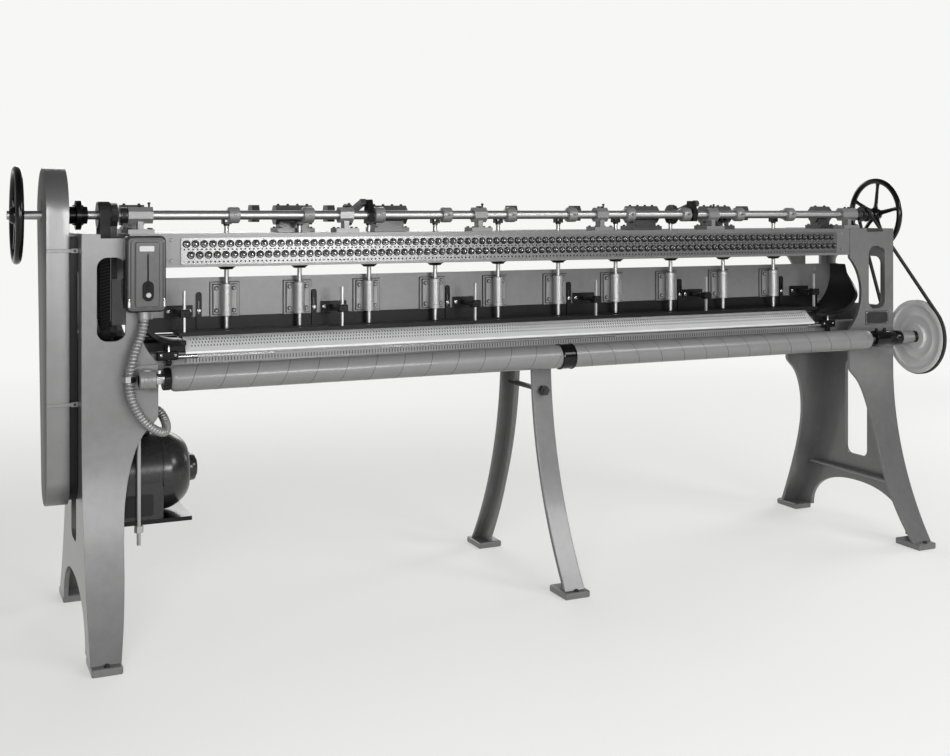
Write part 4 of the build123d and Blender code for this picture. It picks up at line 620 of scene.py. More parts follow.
# Eyelets as small dark discs on the board: painted shade inside the holes
t = Shape()
for row, z in enumerate((1117.0, 1081.0)):
    for k in range(2 * PLACES):
        t.lathe([(0.2, 2.7), (-0.5, 2.6), (-0.6, 0)],
                ((k - PLACES + 0.5) * INCH / 2 + (INCH / 4 if row else -INCH / 4), BOARD_Y, z), "Y", 10)
t.make("eyelet_painted_shade", "painted_shade_dark", angle=40, slot="dark_steel")

# Cloth roll with its spiral seams and rings
s = Shape()
run = [(-1232 + 60 * k, 37) for k in range(21)]
s.lathe([(-1248, 24), (-1246, 31), (-1240, 35.3)] + run + [(-8, 37)], ROLL, "X", 64)
run = [(42 + 60 * k, 37) for k in range(20)]
s.lathe(run + [(1262, 37), (1274, 36), (1284, 32.5), (1289, 27), (1290, 20)], ROLL, "X", 64)
s.make("roll_wrapping", "roll_cover", "roll", replaces="cloth_roll")


def seam(shape, x0, x1, pitch, way):
    """One flat spiral seam round the roll."""
    verts = []
    steps = int((x1 - x0) / pitch * 40)
    for i in range(steps + 1):
        x = x0 + (x1 - x0) * i / steps
        a = way * 2 * pi * (x - x0) / pitch
        for dx, r in ((-1.0, 36.8), (-0.6, 37.3), (0.6, 37.3), (1.0, 36.8)):
            verts.append((x + dx, ROLL[1] + r * cos(a), ROLL[2] + r * sin(a)))
    shape.add(verts, [(4 * i + k, 4 * i + k + 1, 4 * i + k + 5, 4 * i + k + 4)
                      for i in range(steps) for k in range(3)])


s = Shape()
seam(s, -1235, -14, 90, -1)
seam(s, 48, 1262, 90, 1)
s.make("roll_seams", "seam_dark", "roll", angle=40, slot="roll_cover", closed=False)
s = Shape()
s.lathe([(-8, 38), (-7, 41.5), (-3, 42), (-2, 40), (36, 40), (37, 42), (41, 41.5), (42, 38)], ROLL, "X", 56)
s.lathe([(-1268, 30), (-1266.5, 32), (-1249.5, 32), (-1248, 30)], ROLL, "X", 48)
s.make("roll_ring_bands", "black_gloss", "roll", replaces="roll_rings")

# Roll sheave: dished disc with concentric rings
s = Shape()
s.lathe([(0.0, 15), (0.0, 44), (1.5, 46), (8, 48), (8.2, 76), (7.2, 78), (7.2, 82), (8.2, 84), (8.4, 112),
         (6, 117), (1.2, 119.5), (0, 121), (0, 134.5), (1.2, 137), (2.2, 137), (10, 128.2), (14, 128.2),
         (21.8, 137), (22.8, 137), (24, 134.5), (24, 121), (22.8, 119.5), (18, 117), (15.8, 112),
         (15.8, 84), (16.8, 82), (16.8, 78), (15.8, 76), (16, 48), (22.5, 46), (24, 44), (24, 15)],
         (1515, *ROLL[1:]), "X", 96)
s.make("sheave_disc", "sheave_iron", "roll", replaces="roll_sheave", angle=30)
s = Shape()
s.lathe([(1539, 22), (1541, 24), (1550, 24), (1552, 22), (1552, 14), (1549, 12), (1549, 0)], ROLL, "X", 40)
s.make("sheave_nut", "black_iron", "roll")

# Motor
s = Shape()
s.lathe([(-1437, 84), (-1434, 92), (-1428, 101), (-1420, 109), (-1414, 113), (-1410, 115), (-1400, 115),
         (-1399, 113), (-1396, 113), (-1395, 115), (-1250, 115), (-1249, 113), (-1246, 113), (-1245, 115),
         (-1228, 115), (-1218, 113.5), (-1205, 109), (-1190, 101), (-1176, 90), (-1166, 79), (-1161, 70),
         (-1160, 62), (-1160, 41), (-1158, 39.5), (-1140, 39.5), (-1136, 37), (-1136, 30), (-1131, 27),
         (-1131, 0)], (0, MY, MZ), "X", 96)
s.lathe([(0, 20), (30, 20), (32, 17)], (-1286, MY, 560), "Z", 24)
s.prism([(MY - 114, 342), (MY + 114, 342), (MY + 114, MZ), (MY - 114, MZ)], -1405, -1246, "X", 3)
s.make("motor_shell", "motor_paint", replaces="motor", angle=32, slot="black_gloss")
# Flat dark window on the motor's foot: painted shade of its recess
s = Shape()
plate(s, rounded(-1334, 383, 118, 62, 8), MY - 113, MY - 114.6, 0.5)
s.make("motor_foot_painted_shade", "painted_shade_dark", slot="black_gloss")
s = Shape()
for k in range(12):
    a = 2 * pi * k / 12
    s.lathe([(0, 3.5), (4, 3.5), (5, 2.5)], (-1160, MY + 54 * cos(a), MZ + 54 * sin(a)), "X", 8)
s.make("motor_end_bolts", "dark_steel", angle=32)
s = Shape()
vee(s, GUARD_PULLEY, 46, 14, MY, MZ)
s.lathe([(-1552, 12), (-1380, 12)], (0, MY, MZ), "X", 24)
s.make("motor_pulley_wheel", "dark_steel", "motor_rotor", replaces="motor_pulley", angle=32)

# Ribbed metal conduit, on the spline of the part's own route
ROUTE = [(-1311, -216, 944), (-1311, -216, 900), (-1337, -223, 838), (-1354, -225, 766),
         (-1350, -224, 696), (-1308, -212, 626), (-1248, -180, 586), (-1230, -124, 606), (-1246, -78, 646),
         (-1286, -40, 648), (-1286, -40, 592)]
curve = bpy.data.curves.new("route", "CURVE")
curve.dimensions = "3D"
spl = curve.splines.new("NURBS")
spl.points.add(len(ROUTE) - 1)
for p, (x, y, z) in zip(spl.points, ROUTE):
    p.co = (x, y, z, 1)
spl.order_u = 3
spl.use_endpoint_u = True
spl.resolution_u = 24
route_obj = bpy.data.objects.new("route", curve)
line = [v.co.copy() for v in bpy.data.meshes.new_from_object(route_obj).vertices]
bpy.data.objects.remove(route_obj)
dist = [0.0]
for a, b in zip(line, line[1:]):
    dist.append(dist[-1] + (b - a).length)
RIB_PITCH = 10.0
RIB_RADII = (10.2, 12.4, 13.3, 13.3, 12.4)
steps = int(dist[-1] / RIB_PITCH) * len(RIB_RADII)
pts = []
j = 0
for i in range(steps + 1):
    d = min(dist[-1], i * dist[-1] / steps)
    while j < len(dist) - 2 and dist[j + 1] < d:
        j += 1
    pts.append(line[j].lerp(line[j + 1], (d - dist[j]) / max(1e-9, dist[j + 1] - dist[j])))
s = Shape()
s.tube(pts, [RIB_RADII[i % len(RIB_RADII)] for i in range(len(pts))], 20)
s.make("conduit_hose", "conduit_steel", replaces="conduit", angle=50)
s = Shape()
s.lathe([(922, 14), (924, 16), (940, 16), (941, 18), (944, 18)], (-1311, -216, 0), "Z", 24)
s.lathe([(592, 20), (594, 20), (596, 16.5), (612, 16.5), (614, 14.5)], (-1286, -40, 0), "Z", 24)
s.make("conduit_glands", "conduit_steel")

# Switch box: stepped cover, corner latches, bare label, groove drawn as a flat strip of painted shade, oval
# station and two buttons
BOX_X, BOX_Z = -1309.5, 1051.0
STATION_X, START_Z, STOP_Z = -1308.5, 1016, 994
s = Shape()
plate(s, rounded(BOX_X, BOX_Z, 111, 214, 15), -186, -224, 1.0)
plate(s, rounded(BOX_X, BOX_Z, 107, 210, 14), -224, -227)
plate(s, rounded(BOX_X, BOX_Z, 111, 214, 15), -227, -232, 1.5)
s.make("switch_box_shell", "black_gloss", replaces="switch_box")
s = Shape()
plate(s, rounded(BOX_X, BOX_Z, 103, 206, 13), -231, -247, 2.5)
plate(s, rounded(BOX_X, BOX_Z, 88, 194, 9), -246, -252, 1.5)
plate(s, rounded(BOX_X, BOX_Z, 66, 182, 6), -251, -260.6, 2.0)
for x in (BOX_X - 47.5, BOX_X + 47.5):
    s.block((x - 2.5, -248.5, BOX_Z - 70), (x + 2.5, -246, BOX_Z + 88), 0.8)
s.make("switch_cover_panels", "cover_paint", replaces="switch_cover")
s = Shape()
for x in (BOX_X - 48, BOX_X + 48):
    s.block((x - 3.5, -250.5, BOX_Z - 92), (x + 3.5, -246.5, BOX_Z - 70), 1.2)
    s.lathe([(-76, 2.6), (-75, 3.2), (-68, 3.2), (-67, 2.6)], (x, -249, BOX_Z), "Z", 14)
s.make("switch_latches", "polished_steel")
s = Shape()
plate(s, rounded(BOX_X - 2, BOX_Z + 72, 40, 15, 2.5), -260.4, -261.2, 0.3)
s.make("switch_label", "label_white", slot="button_plastic")
# The groove as a thin dark strip: painted shade
s = Shape()
plate(s, rounded(BOX_X + 1, BOX_Z + 18, 5, 78, 2), -260.4, -260.9)
s.make("switch_groove_painted_shade", "painted_shade_dark", slot="black_gloss")
s = Shape()
plate(s, rounded(STATION_X, 1005, 30, 56, 14.9, 10), -260, -267.6, 1.6)
wells = [Shape(), Shape()]
for well, z in zip(wells, (START_Z, STOP_Z)):
    well.lathe([(-270, 7.6), (-261, 7.6)], (STATION_X, 0, z), "Y", 32)
carve(s, wells).make("station_face", "black_gloss", replaces="button_station")
s = Shape()
s.lathe([(-264.5, 7), (-271.2, 7), (-272, 6.2), (-272, 0)], (STATION_X, 0, START_Z), "Y", 28)
s.block((-1315, -272.6, START_Z - 2), (-1302, -271.2, START_Z + 2), 0.5)
s.make("start_button_cap", "black_gloss", "start_button_body", replaces="start_button",
       slot="button_plastic")
s = Shape()
s.lathe([(-264.5, 7), (-271.4, 7), (-272.2, 6), (-272.2, 0)], (STATION_X, 0, STOP_Z), "Y", 28)
s.make("stop_button_cap", "button_plastic", "stop_button_body", replaces="stop_button")

# Bare nameplate on the right frame
SIGN_X, SIGN_Z, SIGN_FACE = 1395.5, 828, -187.4
s, t, b = Shape(), Shape(), Shape()
plate(s, rounded(SIGN_X, SIGN_Z, 111, 50, 2), -186, SIGN_FACE, 0.3)
for side in (-1, 1):
    for dx, dz, w, h in ((0, side * 22.3, 105, 0.9), (side * 52.3, 0, 0.9, 44.6)):
        x, z = SIGN_X + dx, SIGN_Z + dz
        t.block((x - w / 2, -187.75, z - h / 2), (x + w / 2, -187.3, z + h / 2))
    for dz in (-19, 19):
        b.screw((SIGN_X + side * 49, SIGN_FACE, SIGN_Z + dz), "-Y", 1.9, 1.2)
s.make("nameplate_bare", "plate_black", slot="black_gloss")
t.make("nameplate_border", "polished_steel")
b.make("nameplate_rivets", "polished_steel")

# Fine slots of the needle plate and the lower comb, as thin dark inlays that paint the shade inside the
# slots
PITCH = 9.525
PLATE_DEPTH, PLATE_RISE = 55, 40.7
SLOPE = atan2(PLATE_RISE, PLATE_DEPTH)


def on_plate(shape, x, t0, t1):
    """A slim inlay on the needle plate's slope, from t0 to t1 of its depth; drawn dark, it paints the shade
    inside a slot.
    """
    out_y, out_z = -sin(SLOPE), cos(SLOPE)
    verts = []
    for lift in (0.12, -0.38):
        for t, dx in ((t0, -1.4), (t0, 1.4), (t1, 1.4), (t1, -1.4)):
            y, z = -100 + PLATE_DEPTH * t, 812.3 + PLATE_RISE * t
            verts.append((x + dx, y + lift * out_y, z + lift * out_z))
    shape.add(verts, BOX_FACES)


s = Shape()
for k in range(int(2 * 1150 / PITCH) + 1):
    for t0, shift in ((0.72, 0), (0.52, 0.5), (0.31, 0)):
        on_plate(s, -1150 + (k + shift) * PITCH, t0, t0 + 0.11)
for k in range(-1, int(2 * 1168 / PITCH)):
    x = -1160 + k * PITCH
    s.block((x - 1.1, -100.25, 781), (x + 1.1, -99.9, 793))
s.make("comb_slot_painted_shade", "painted_shade_dark", slot="dark_steel")

# Steel guide strips and the short rods on the bed's front edge
s = Shape()
s.block((-1135, -103.5, 800.5), (1168, -99.5, 803.8), 0.6)
s.block((-1135, -103.0, 794.6), (-905, -99.5, 798.0), 0.6)
s.block((-560, -103.0, 794.6), (300, -99.5, 797.2), 0.6)
for side in (-1, 1):
    s.lathe(both_ways([(-49.5, 5.0), (-48, 6.6)]), (side * 1186.5, -104.5, 800), "X", 24)
    s.lathe([(790, 3.2), (791, 4), (838, 4), (839.5, 3)], (side * 1224, -112, 0), "Z", 18)
    for x in (1205, 1246):
        s.bolt((side * x, -117.0, 806), "-Y", 3.2, 3.0)
s.make("bed_front_strips", "polished_steel")
s = Shape()
for side in (-1, 1):
    s.pair(side, 1196, 1258, -117, -96, 792, 818, 2.5)
    s.pair(side, 1216, 1232, -119, -105, 776, 792, 2)
s.make("bed_end_blocks", "black_iron")

# Needles with their clamp screws on the needle bar, and a looper beside each
s, t, b = Shape(), Shape(), Shape()
for k in range(PLACES):
    x = (k - (PLACES - 1) / 2) * INCH
    s.lathe([(832, 0), (835, 0.7), (839, 1.15), (856.9, 1.25)], (x, ROD_Y, 0), "Z", 8)
    t.lathe([(0, 2.6), (-3.0, 2.6), (-3.6, 2.0)], (x, -40, 863.5), "Y", 8)
    t.lathe([(852.5, 2.6), (853.2, 3.2), (857.0, 3.2)], (x, ROD_Y, 0), "Z", 8)
for k in range(90):
    x = (k - 44.5) * INCH + 3.4
    b.prism([(-53, 807.6), (-47, 807.6), (-46, 815), (-40, 819.5), (-31, 821), (-24, 820.4), (-31, 822.8),
             (-42, 822), (-50, 817)], x - 0.8, x + 0.8, "X")
s.make("needles", "needle_steel", "needle_carriage", angle=40)
t.make("needle_clamp_screws", "dark_steel", "needle_carriage", angle=40)
b.make("loopers", "polished_steel", "looper", angle=40)

# Screws and washers on the setting bars and the presser brackets, clamps under the beam
s, t = Shape(), Shape()
for x in [-1114.0] + [rx + 54.5 for rx in RODS[1::2]]:
    s.bolt((x, -10, 925), "-Y", 4.2, 3.4)
    t.lathe([(-3, 8), (3, 8)], (x, -6, 974), "Y", 20)
for x in (-1175.0, -685.8, -228.6, 228.6, 685.8, 1175.0):
    for dx in (-32, 32):
        s.bolt((x + dx, -10, 925.5), "-Y", 4.2, 3.4)
    t.block((x - 15, -108, 914), (x + 15, -78, 937), 2.5)
    t.bolt((x, -108, 925.5), "-Y", 4, 4)
s.make("bar_screws", "polished_steel")
t.make("bar_ends_and_clamps", "black_iron")
s = Shape()
for rx in RODS:
    s.lathe([(1050, 9), (1051, 19), (1054, 21), (1060, 30), (1066, 31)], (rx, ROD_Y, 0), "Z", 28)
s.make("beam_rod_glands", "black_iron")

# Cloth roll's bearings: turned boss on the left, glossy bracket with two oilers and a sleeve on the right
s = Shape()
s.lathe([(-1333, 24), (-1331.5, 27), (-1290, 27), (-1288, 24.5)], ROLL, "X", 56)
s.block((-1358, -196, 722), (-1268, -186, 792), 2)
s.block((-1330, -245, 744), (-1291, -190, 770), 3)
for k in range(3):
    s.lathe([(-1322 + 10 * k, 27), (-1321.5 + 10 * k, 27.5), (-1320.5 + 10 * k, 27.5),
             (-1320 + 10 * k, 27)], ROLL, "X", 56)
s.lathe([(781, 15), (786.5, 15), (788, 13.5)], (-1311, ROLL[1], 0), "Z", 32)
s.make("roll_boss_left", "cast_light", replaces="roll_bearings", slot="black_iron")
s = Shape()
s.lathe([(1312, 24), (1314, 28), (1322, 29), (1380, 28), (1404, 24.5), (1408, 24), (1412, 26.5),
         (1437, 26.5), (1440, 24)], ROLL, "X", 56)
s.block((1322, -245, 742), (1404, -186, 772), 5)
for x in (1330, 1368):
    s.lathe([(783, 9), (787, 9), (787.5, 6), (794, 6), (795.5, 4)], (x, ROLL[1], 0), "Z", 20)
s.make("roll_bracket_right", "black_gloss", slot="black_iron")
s = Shape()
sleeve = [(1440, 21), (1441, 23.6)]
for k in range(6):
    sleeve += [(1448 + 8 * k, 23.6), (1448.6 + 8 * k, 23.0), (1449.4 + 8 * k, 23.0), (1450 + 8 * k, 23.6)]
s.lathe(sleeve + [(1496, 23.6), (1497, 21)], ROLL, "X", 48)
s.make("roll_sleeve_right", "cast_light", slot="black_iron")
s = Shape()
s.lathe([(1498, 17), (1499, 19), (1512, 19), (1516, 23)], ROLL, "X", 40)
s.make("sheave_boss", "black_gloss", "roll", slot="black_iron")

# Ribs of the belt to the looper shaft
s = Shape()
for y0, y1 in ((-10.2, -8.6), (68.6, 70.2)):
    for k in range(29):
        z = 880 + 9.4 * k
        verts = []
        for y in (y0, y1):
            verts += [(-1404.2, y, z - 3.2), (-1374.8, y, z + 4.2), (-1374.8, y, z + 7.4), (-1404.2, y, z)]
        s.add(verts, BOX_FACES)
s.make("belt_ribs", "rib_grey", slot="belt_rubber")

# Bolts of feet, pedestals, housings, beam and rail, screws of the disc board
s, t = Shape(), Shape()
for side in (-1, 1):
    for y in (-387.0, 387.0):
        s.bolt((side * 1436.5, y, FOOT), "+Z", 7, 7)
for y in (-347.0, 387.0):
    s.bolt((MID_X, y, FOOT), "+Z", 7, 6.5)
for x, w in PEDESTALS:
    for dx in (-29, 29):
        for dy in (-22, 22):
            s.bolt((x + dx, ROCKER_Y + dy, DECK), "+Z", 4.6, 4.2)
    for dy in (-9.6, 9.6):
        t.bolt((x, ROCKER_Y + dy, 1240), "+Z", 4.4, 4.6)
    t.lathe([(1240, 3), (1247, 3), (1248, 4.2), (1252, 4.2), (1253.5, 2.6)],
            (x + w / 2 - 9, ROCKER_Y, 0), "Z", 14)
for x, w in HOUSINGS:
    for dx in (-w / 2 + 10, w / 2 - 10):
        for dy in (-36, 36):
            s.bolt((x + dx, SHAFT_Y + dy, DECK), "+Z", 4.6, 4.2)
    n = 4 if w > 100 else 2
    for k in range(n):
        t.bolt((x + (k - (n - 1) / 2) * (w - 26) / (n - 1), SHAFT_Y, 1246.5), "+Z", 4.4, 4.6)
s.make("hold_down_bolts", "dark_steel")
t.make("cap_bolts_and_oilers", "black_iron")
s = Shape()
for side in (-1, 1):
    for z in (1145, 1085):
        s.bolt((side * 1230, -182, z), "-Y", 4.5, 3.6)
    for z in (908, 1008):
        s.bolt((side * 1255, -2, z), "-Y", 5, 4)
for k in range(11):
    for z in (1146.5, 1076.8):
        s.screw((-1200 + 240 * k, BOARD_Y, z), "-Y", 1.8, 1.0)
s.make("front_screws", "cast_light", slot="enamel")

# Bed brackets: curved castings, their front edge running back towards the upright end
BRACKET_FRONT = [(0.0, -108.0), (0.38, -171.0), (0.6, -171.0), (1.1, -74.0), (2.0, -74.0)]


def front_at(t):
    """The front edge's y at a share t of the curve."""
    for (t0, y0), (t1, y1) in zip(BRACKET_FRONT, BRACKET_FRONT[1:]):
        if t <= t1:
            k = (t - t0) / (t1 - t0)
            return y0 + (y1 - y0) * k * k * (3 - 2 * k)
    return BRACKET_FRONT[-1][1]


for side, name in ((-1, "left_bed_bracket"), (1, "right_bed_bracket")):
    s = Shape()
    line = [(1172, 846, 1172, 832, 0.0)]
    for k in range(31):
        turn = radians(3 * k)
        line.append((1182 + 148 * sin(turn), 994 - 148 * cos(turn), 1182 + 162 * sin(turn),
                     994 - 162 * cos(turn), k / 30))
    line.append((1330, 1026, 1344, 1026, 1.2))
    verts = []
    for xi, zi, xo, zo, k in line:
        y = front_at(k)
        verts += [(side * xi, -2, zi), (side * xi, y, zi), (side * xo, y, zo), (side * xo, -2, zo)]
    s.add(verts, skin(len(line), 4) + caps(len(line), 4))
    s.pair(side, 1172, 1232, -96, -88, 811, 834)
    s.make(name + "_casting", "black_iron", replaces=name, angle=32, bevel=2.0)


def smooth_line(points, steps):
    """A Catmull-Rom line through the points."""
    out = []
    for i in range(len(points) - 1):
        four = (points[max(i - 1, 0)], points[i], points[i + 1], points[min(i + 2, len(points) - 1)])
        for k in range(steps):
            t = k / steps
            out.append(tuple((2 * b + (c - a) * t + (2 * a - 5 * b + 4 * c - d) * t * t
                              + (3 * b - a - 3 * c + d) * t ** 3) / 2 for a, b, c, d in zip(*four)))
    out.append(points[-1])
    return out


def mirrored(half):
    """The half outline with positive y, closed with its mirror image."""
    return half + [(-y, z) for y, z in reversed(half) if abs(y) > 1e-6]


LEG_EDGE = [(211, 650), (206, 634), (192, 618), (174, 600), (157, 574), (141, 536), (127, 486), (117, 432),
            (111, 380), (107, 300), (103, 210), (94, 110), (80, 20)]
FRAME_X = 1477.0  # outer face of the end frames
FRAME_TOP = 1163.0
WALL = 14.0
BEYOND = 260.0  # how far the cutters reach inward
UPPER_OPENING = 264.0


def from_outside(side, depth):
    """X at a depth inward from an end frame's outer face."""
    return side * (FRAME_X - depth)


def slab(side, outline, depth0, depth1, cut=0.0, shape=None):
    """A (y, z) outline pulled between two depths from the outer face."""
    shape = shape or Shape()
    shape.prism(outline, from_outside(side, depth0), from_outside(side, depth1), "X", cut)
    return shape


def through(side, outline):
    """A (depth, z) outline pulled through the frame from front to rear."""
    shape = Shape()
    shape.prism([(z, from_outside(side, d)) for d, z in outline], -500, 500, "Y")
    return shape


# Outlines that both end frames share: half the casting, half its hollow
arch = []
for k in range(1, 24):
    a = radians(90 * k / 24)
    arch.append((262 * cos(a) ** 0.9, FOOT + 149 * sin(a) ** 0.9))
outer = [(0, FRAME_TOP), (186, FRAME_TOP)] + bow((186, 650), (374, FOOT))
outer += [(262, FOOT)] + arch + [(0, 171)]
inner = [(0, FRAME_TOP - WALL), (172, FRAME_TOP - WALL)] + bow((172, 650), (359, FOOT))
inner += [(359, 10), (0, 10)]
# Arc of the recess in the frames' inner edge
cx, cz, sag, half = 155.0, 923.0, 55.0, 131.0
r = (sag ** 2 + half ** 2) / (2 * sag)
reach = atan2(half, r - sag)
ring = [(cx + r - r * cos(reach * (k / 14 - 1)), cz + r * sin(reach * (k / 14 - 1))) for k in range(29)]
for side, name in ((-1, "left_end_frame"), (1, "right_end_frame")):
    cutters = [
        slab(side, mirrored(inner), WALL, 240),
        through(side, [(BEYOND, cz - half)] + ring + [(BEYOND, cz + half)]),
        through(side, [(BEYOND, 650)] + smooth_line(LEG_EDGE, 4) + [(80, 10), (BEYOND, 10)]),
        through(side, rounded(80.5, 979, 79, 236, 30, 10)),
    ]
    for y, z in ((200, 1151), (171.9, 1130)):
        cutters.append(Shape())
        cutters[-1].pair(side, FRAME_X - 130, FRAME_X - 51, -y, y, z, 1180)
    for z, w, h in ((455.5, 120, 369), (961.5, UPPER_OPENING, 187)):
        cutters.append(slab(side, rounded(0, z, w, h, 28, 8), -20, 30))
    cast = carve(slab(side, mirrored(outer), 0, 210), cutters)
    slab(side, [(-236, 204), (236, 204), (236, 216), (-236, 216)], 13.5, 50, 3, cast)
    for y0 in (-400, 280):
        cast.pair(side, 1396, 1477, y0, y0 + 120, 0, FOOT, 3)
    if side < 0:
        cast.lathe([(-1477, 24), (-1434, 24), (-1432, 22)], (0, SHAFT_Y, 872), "X", 32)
    cast.make(name + "_casting", "enamel", replaces=name, angle=30, bevel=4.5)

# Middle legs: bowed face strip, rib, top flange and pad
for name, top_y, foot_y in (("middle_leg_front", -110.0, -358.0), ("middle_leg_rear", 130.0, 398.0)):
    way = 1 if foot_y > top_y else -1
    heel = foot_y - way * 110
    top_z = 765
    front = bow((top_y, top_z), (foot_y - way * 20, FOOT))
    back = bow((top_y - way * WALL, top_z), (foot_y - way * 34, FOOT))
    deep_edge = bow((top_y - way * 60, top_z), (heel + way * 8, FOOT))
    s = Shape()
    s.prism(front + back[::-1], MID_X - 37.5, MID_X + 37.5, "X", 3.5)
    s.prism([(y + way * 3, z) for y, z in back] + deep_edge[::-1], MID_X - 7, MID_X + 7, "X", 2.5)
    s.block((MID_X - 37.5, top_y, top_z - WALL), (MID_X + 37.5, top_y - way * 60, top_z), 2.5)
    s.block((MID_X - 45, foot_y, 0), (MID_X + 45, heel, FOOT), 3.5)
    s.make(name + "_casting", "enamel", replaces=name, angle=30, bevel=0.8)

# Belt guard: smooth sheet shell, closed outward face with a slot for the shaft, dark rim at the frame that
# paints the shade in the gap between guard and frame
TOP, LOW = (SHAFT_Y, SHAFT_Z), (MY, MZ)


def guard_ring(off):
    """The guard's outline, moved outward by off."""
    return hull(TOP, 138 + off, LOW, 76 + off, 96)


s = Shape()
outer_ring = guard_ring(-4)
around = [atan2(z - SHAFT_Z, y - SHAFT_Y) for y, z in outer_ring]
slot_ring = [(SHAFT_Y + 17 * cos(a), SHAFT_Z + 47 * sin(a)) for a in around]
SHELL = ((-1561.2, -3), (-1563, -2), (-1562.4, -0.6), (-1560, 0), (-1503, 0), (-1501, -0.6), (-1501, -3),
         (-1561.2, -3))
band(s, [(x, guard_ring(off)) for x, off in SHELL])
s.make("guard_shell", "guard_paint", replaces="belt_guard", angle=40)
s = Shape()
band(s, [(-1561, slot_ring), (-1564, slot_ring), (-1564, outer_ring), (-1563, guard_ring(-2)),
         (-1561, guard_ring(-2)), (-1561, slot_ring)])
s.make("guard_face_panel", "guard_face", angle=40, slot="guard_paint")
RIM_TOP = 1150.0  # the frame hides the rim above


def side_y(off, z, way):
    """The guard outline's y at height z, on the front (way -1) or the rear (way 1)."""
    ring = guard_ring(off)
    found = []
    for (ya, za), (yb, zb) in zip(ring, ring[1:] + ring[:1]):
        if (za - z) * (zb - z) <= 0 and abs(za - zb) > 1e-6:
            found.append(ya + (yb - ya) * (z - za) / (zb - za))
    return min(found) if way < 0 else max(found)


def rim_line(off):
    """The guard outline below RIM_TOP, from the front round the lower end to the rear."""
    low = sorted((p for p in guard_ring(off) if p[1] < 700),
                 key=lambda p: atan2(p[0] - MY, MZ + 120 - p[1]))
    return [(side_y(off, RIM_TOP, -1), RIM_TOP)] + low + [(side_y(off, RIM_TOP, 1), RIM_TOP)]


# Black rim in the gap between guard and frame: painted shade
s = Shape()
s.prism(rim_line(-12) + rim_line(-15)[::-1], -1501.5, -1478, "X")
s.make("guard_rim_painted_shade", "black_iron", angle=40, slot="guard_paint")
s, t = Shape(), Shape()
for z in (1115.0, 680.0):
    y = side_y(0, z, -1)
    s.block((-1563, y - 2.6, z - 5), (-1493, y + 0.4, z + 5), 0.8)
    s.block((-1497, y - 4.5, z - 7), (-1477, y + 3, z + 7), 1.2)
    s.block((-1482, y, z - 7), (-1477, y + 58, z + 7), 1)
    t.bolt((-1487, y - 4.5, z), "-Y", 3.4, 3)
s.make("guard_strap_bands", "cast_light", replaces="guard_straps", slot="black_iron")
t.make("guard_strap_bolts", "dark_steel")


# Belts on smooth runs
def belt_loop(shape, x, wide_out, wide_in, c1, r1, c2, r2, thick):
    """A belt round two pulleys."""
    inner, outer = hull(c1, r1, c2, r2, 48), hull(c1, r1 + thick, c2, r2 + thick, 48)
    band(shape, [(x - wide_in / 2, inner), (x - wide_out / 2, outer), (x + wide_out / 2, outer),
                 (x + wide_in / 2, inner), (x - wide_in / 2, inner)])


s = Shape()
belt_loop(s, -1534, 11, 9, TOP, 110.5, LOW, 40.5, 9)
belt_loop(s, 1527, 11, 9, TOP, 24.5, ROLL[1:], 131.5, 9)
belt_loop(s, -1389.5, 30, 30, TOP, 36.2, (SHAFT_Y, 872), 36.2, 4)
s.make("belt_runs", "belt_rubber", replaces="drive_belts", angle=40)

# Floor, backdrop and light
floor_me = bpy.data.meshes.new("floor")
floor_me.from_pydata([(-30, -20, 0), (30, -20, 0), (30, 40, 0), (-30, 40, 0)], [], [(0, 1, 2, 3)])
shown("floor", floor_me)
BACKDROP = (0.93, 0.93, 0.92, 1)

floor_mat = bpy.data.materials.new("floor")
tree = empty_tree(floor_mat)
rays = node(tree, "LightPath")
seen = node(tree, "Math", {0: rays.outputs["Is Camera Ray"], 1: rays.outputs["Is Glossy Ray"]},
            operation="MAXIMUM")
ground = node(tree, "BsdfPrincipled", {"Base Color": (0.56, 0.56, 0.55, 1), "Roughness": 0.9,
                                       "Specular IOR Level": 0.05})
level = node(tree, "Math", {0: seen, 1: 0.42}, operation="MULTIPLY")
lift = node(tree, "Emission", {"Color": (1, 1, 0.985, 1), "Strength": level})
near_tone = node(tree, "AddShader", {0: ground, 1: lift})
far_tone = node(tree, "Emission", {"Color": BACKDROP})
spot = node(tree, "NewGeometry").outputs["Position"]
reach = node(tree, "VectorMath", {0: spot}, operation="LENGTH").outputs["Value"]
fade = node(tree, "MapRange", {"Value": reach, "From Min": 1.6, "From Max": 6.5},
            interpolation_type="SMOOTHSTEP")
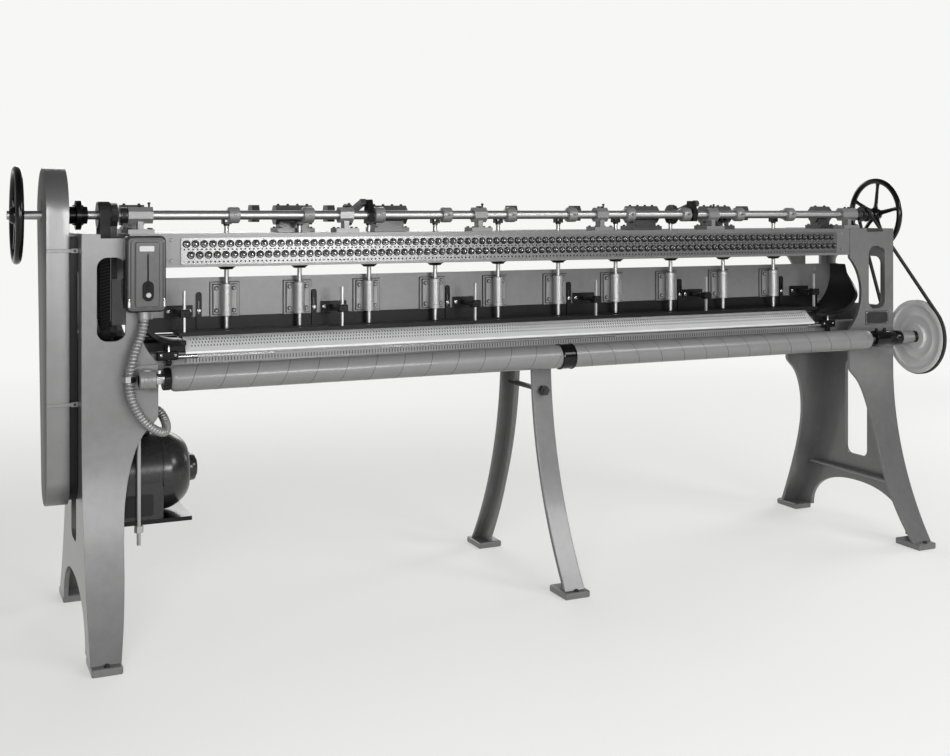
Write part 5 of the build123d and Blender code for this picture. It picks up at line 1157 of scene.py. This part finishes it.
fade_seen = node(tree, "Math", {0: fade, 1: seen}, operation="MULTIPLY")
blend = node(tree, "MixShader", {0: fade_seen, 1: near_tone, 2: far_tone})
node(tree, "OutputMaterial", {"Surface": blend})
floor_me.materials.append(floor_mat)

world = bpy.data.worlds.new("studio")
bpy.context.scene.world = world
tree = empty_tree(world)
sky = node(tree, "TexCoord").outputs["Generated"]
height = node(tree, "SeparateXYZ", {0: sky}).outputs[2]
grade = ramp(tree, height, [(0.0, 0.46), (0.35, 0.30), (1.0, 0.05)])
flag = node(tree, "VectorMath", {0: sky, 1: (0.8, -0.6, 0.0)}, operation="DOT_PRODUCT").outputs["Value"]
shade = node(tree, "MapRange", {"Value": flag, "From Min": 0.76, "From Max": 0.98, "To Min": 1.0,
                                "To Max": 0.08})
soft = node(tree, "Background", {"Color": grade, "Strength": shade})
backdrop = node(tree, "Background", {"Color": BACKDROP, "Strength": 1.0})
camera_ray = node(tree, "LightPath").outputs["Is Camera Ray"]
pick = node(tree, "MixShader", {0: camera_ray, 1: soft, 2: backdrop})
node(tree, "OutputWorld", {"Surface": pick})


def area(name, where, target, size, power):
    """A rectangular lamp that looks at its target."""
    data = bpy.data.lights.new(name, "AREA")
    data.shape = "RECTANGLE"
    data.size, data.size_y = size
    data.energy = power
    obj = shown(name, data)
    obj.location = where
    obj.rotation_euler = (Vector(target) - Vector(where)).to_track_quat("-Z", "Y").to_euler()


area("key", (-1.15, -4.3, 1.3), (-0.7, 0, 1.0), (0.9, 0.9), 13)
area("left", (-2.6, -3.9, 1.8), (-0.3, 0, 0.9), (1.3, 1.3), 60)
area("right", (0.6, -4.7, 1.6), (0.3, 0, 0.85), (1.6, 0.8), 74)
area("right_high", (2.7, -3.7, 3.0), (0.9, 0, 0.8), (1.6, 1.2), 52)
area("back", (0.4, 5.0, 2.6), (0, 0, 0.8), (4.0, 2.2), 80)
area("side", (4.8, 0.9, 2.2), (1.4, 0, 0.8), (1.8, 1.8), 55)

bpy.context.scene.view_settings.view_transform = "Standard"
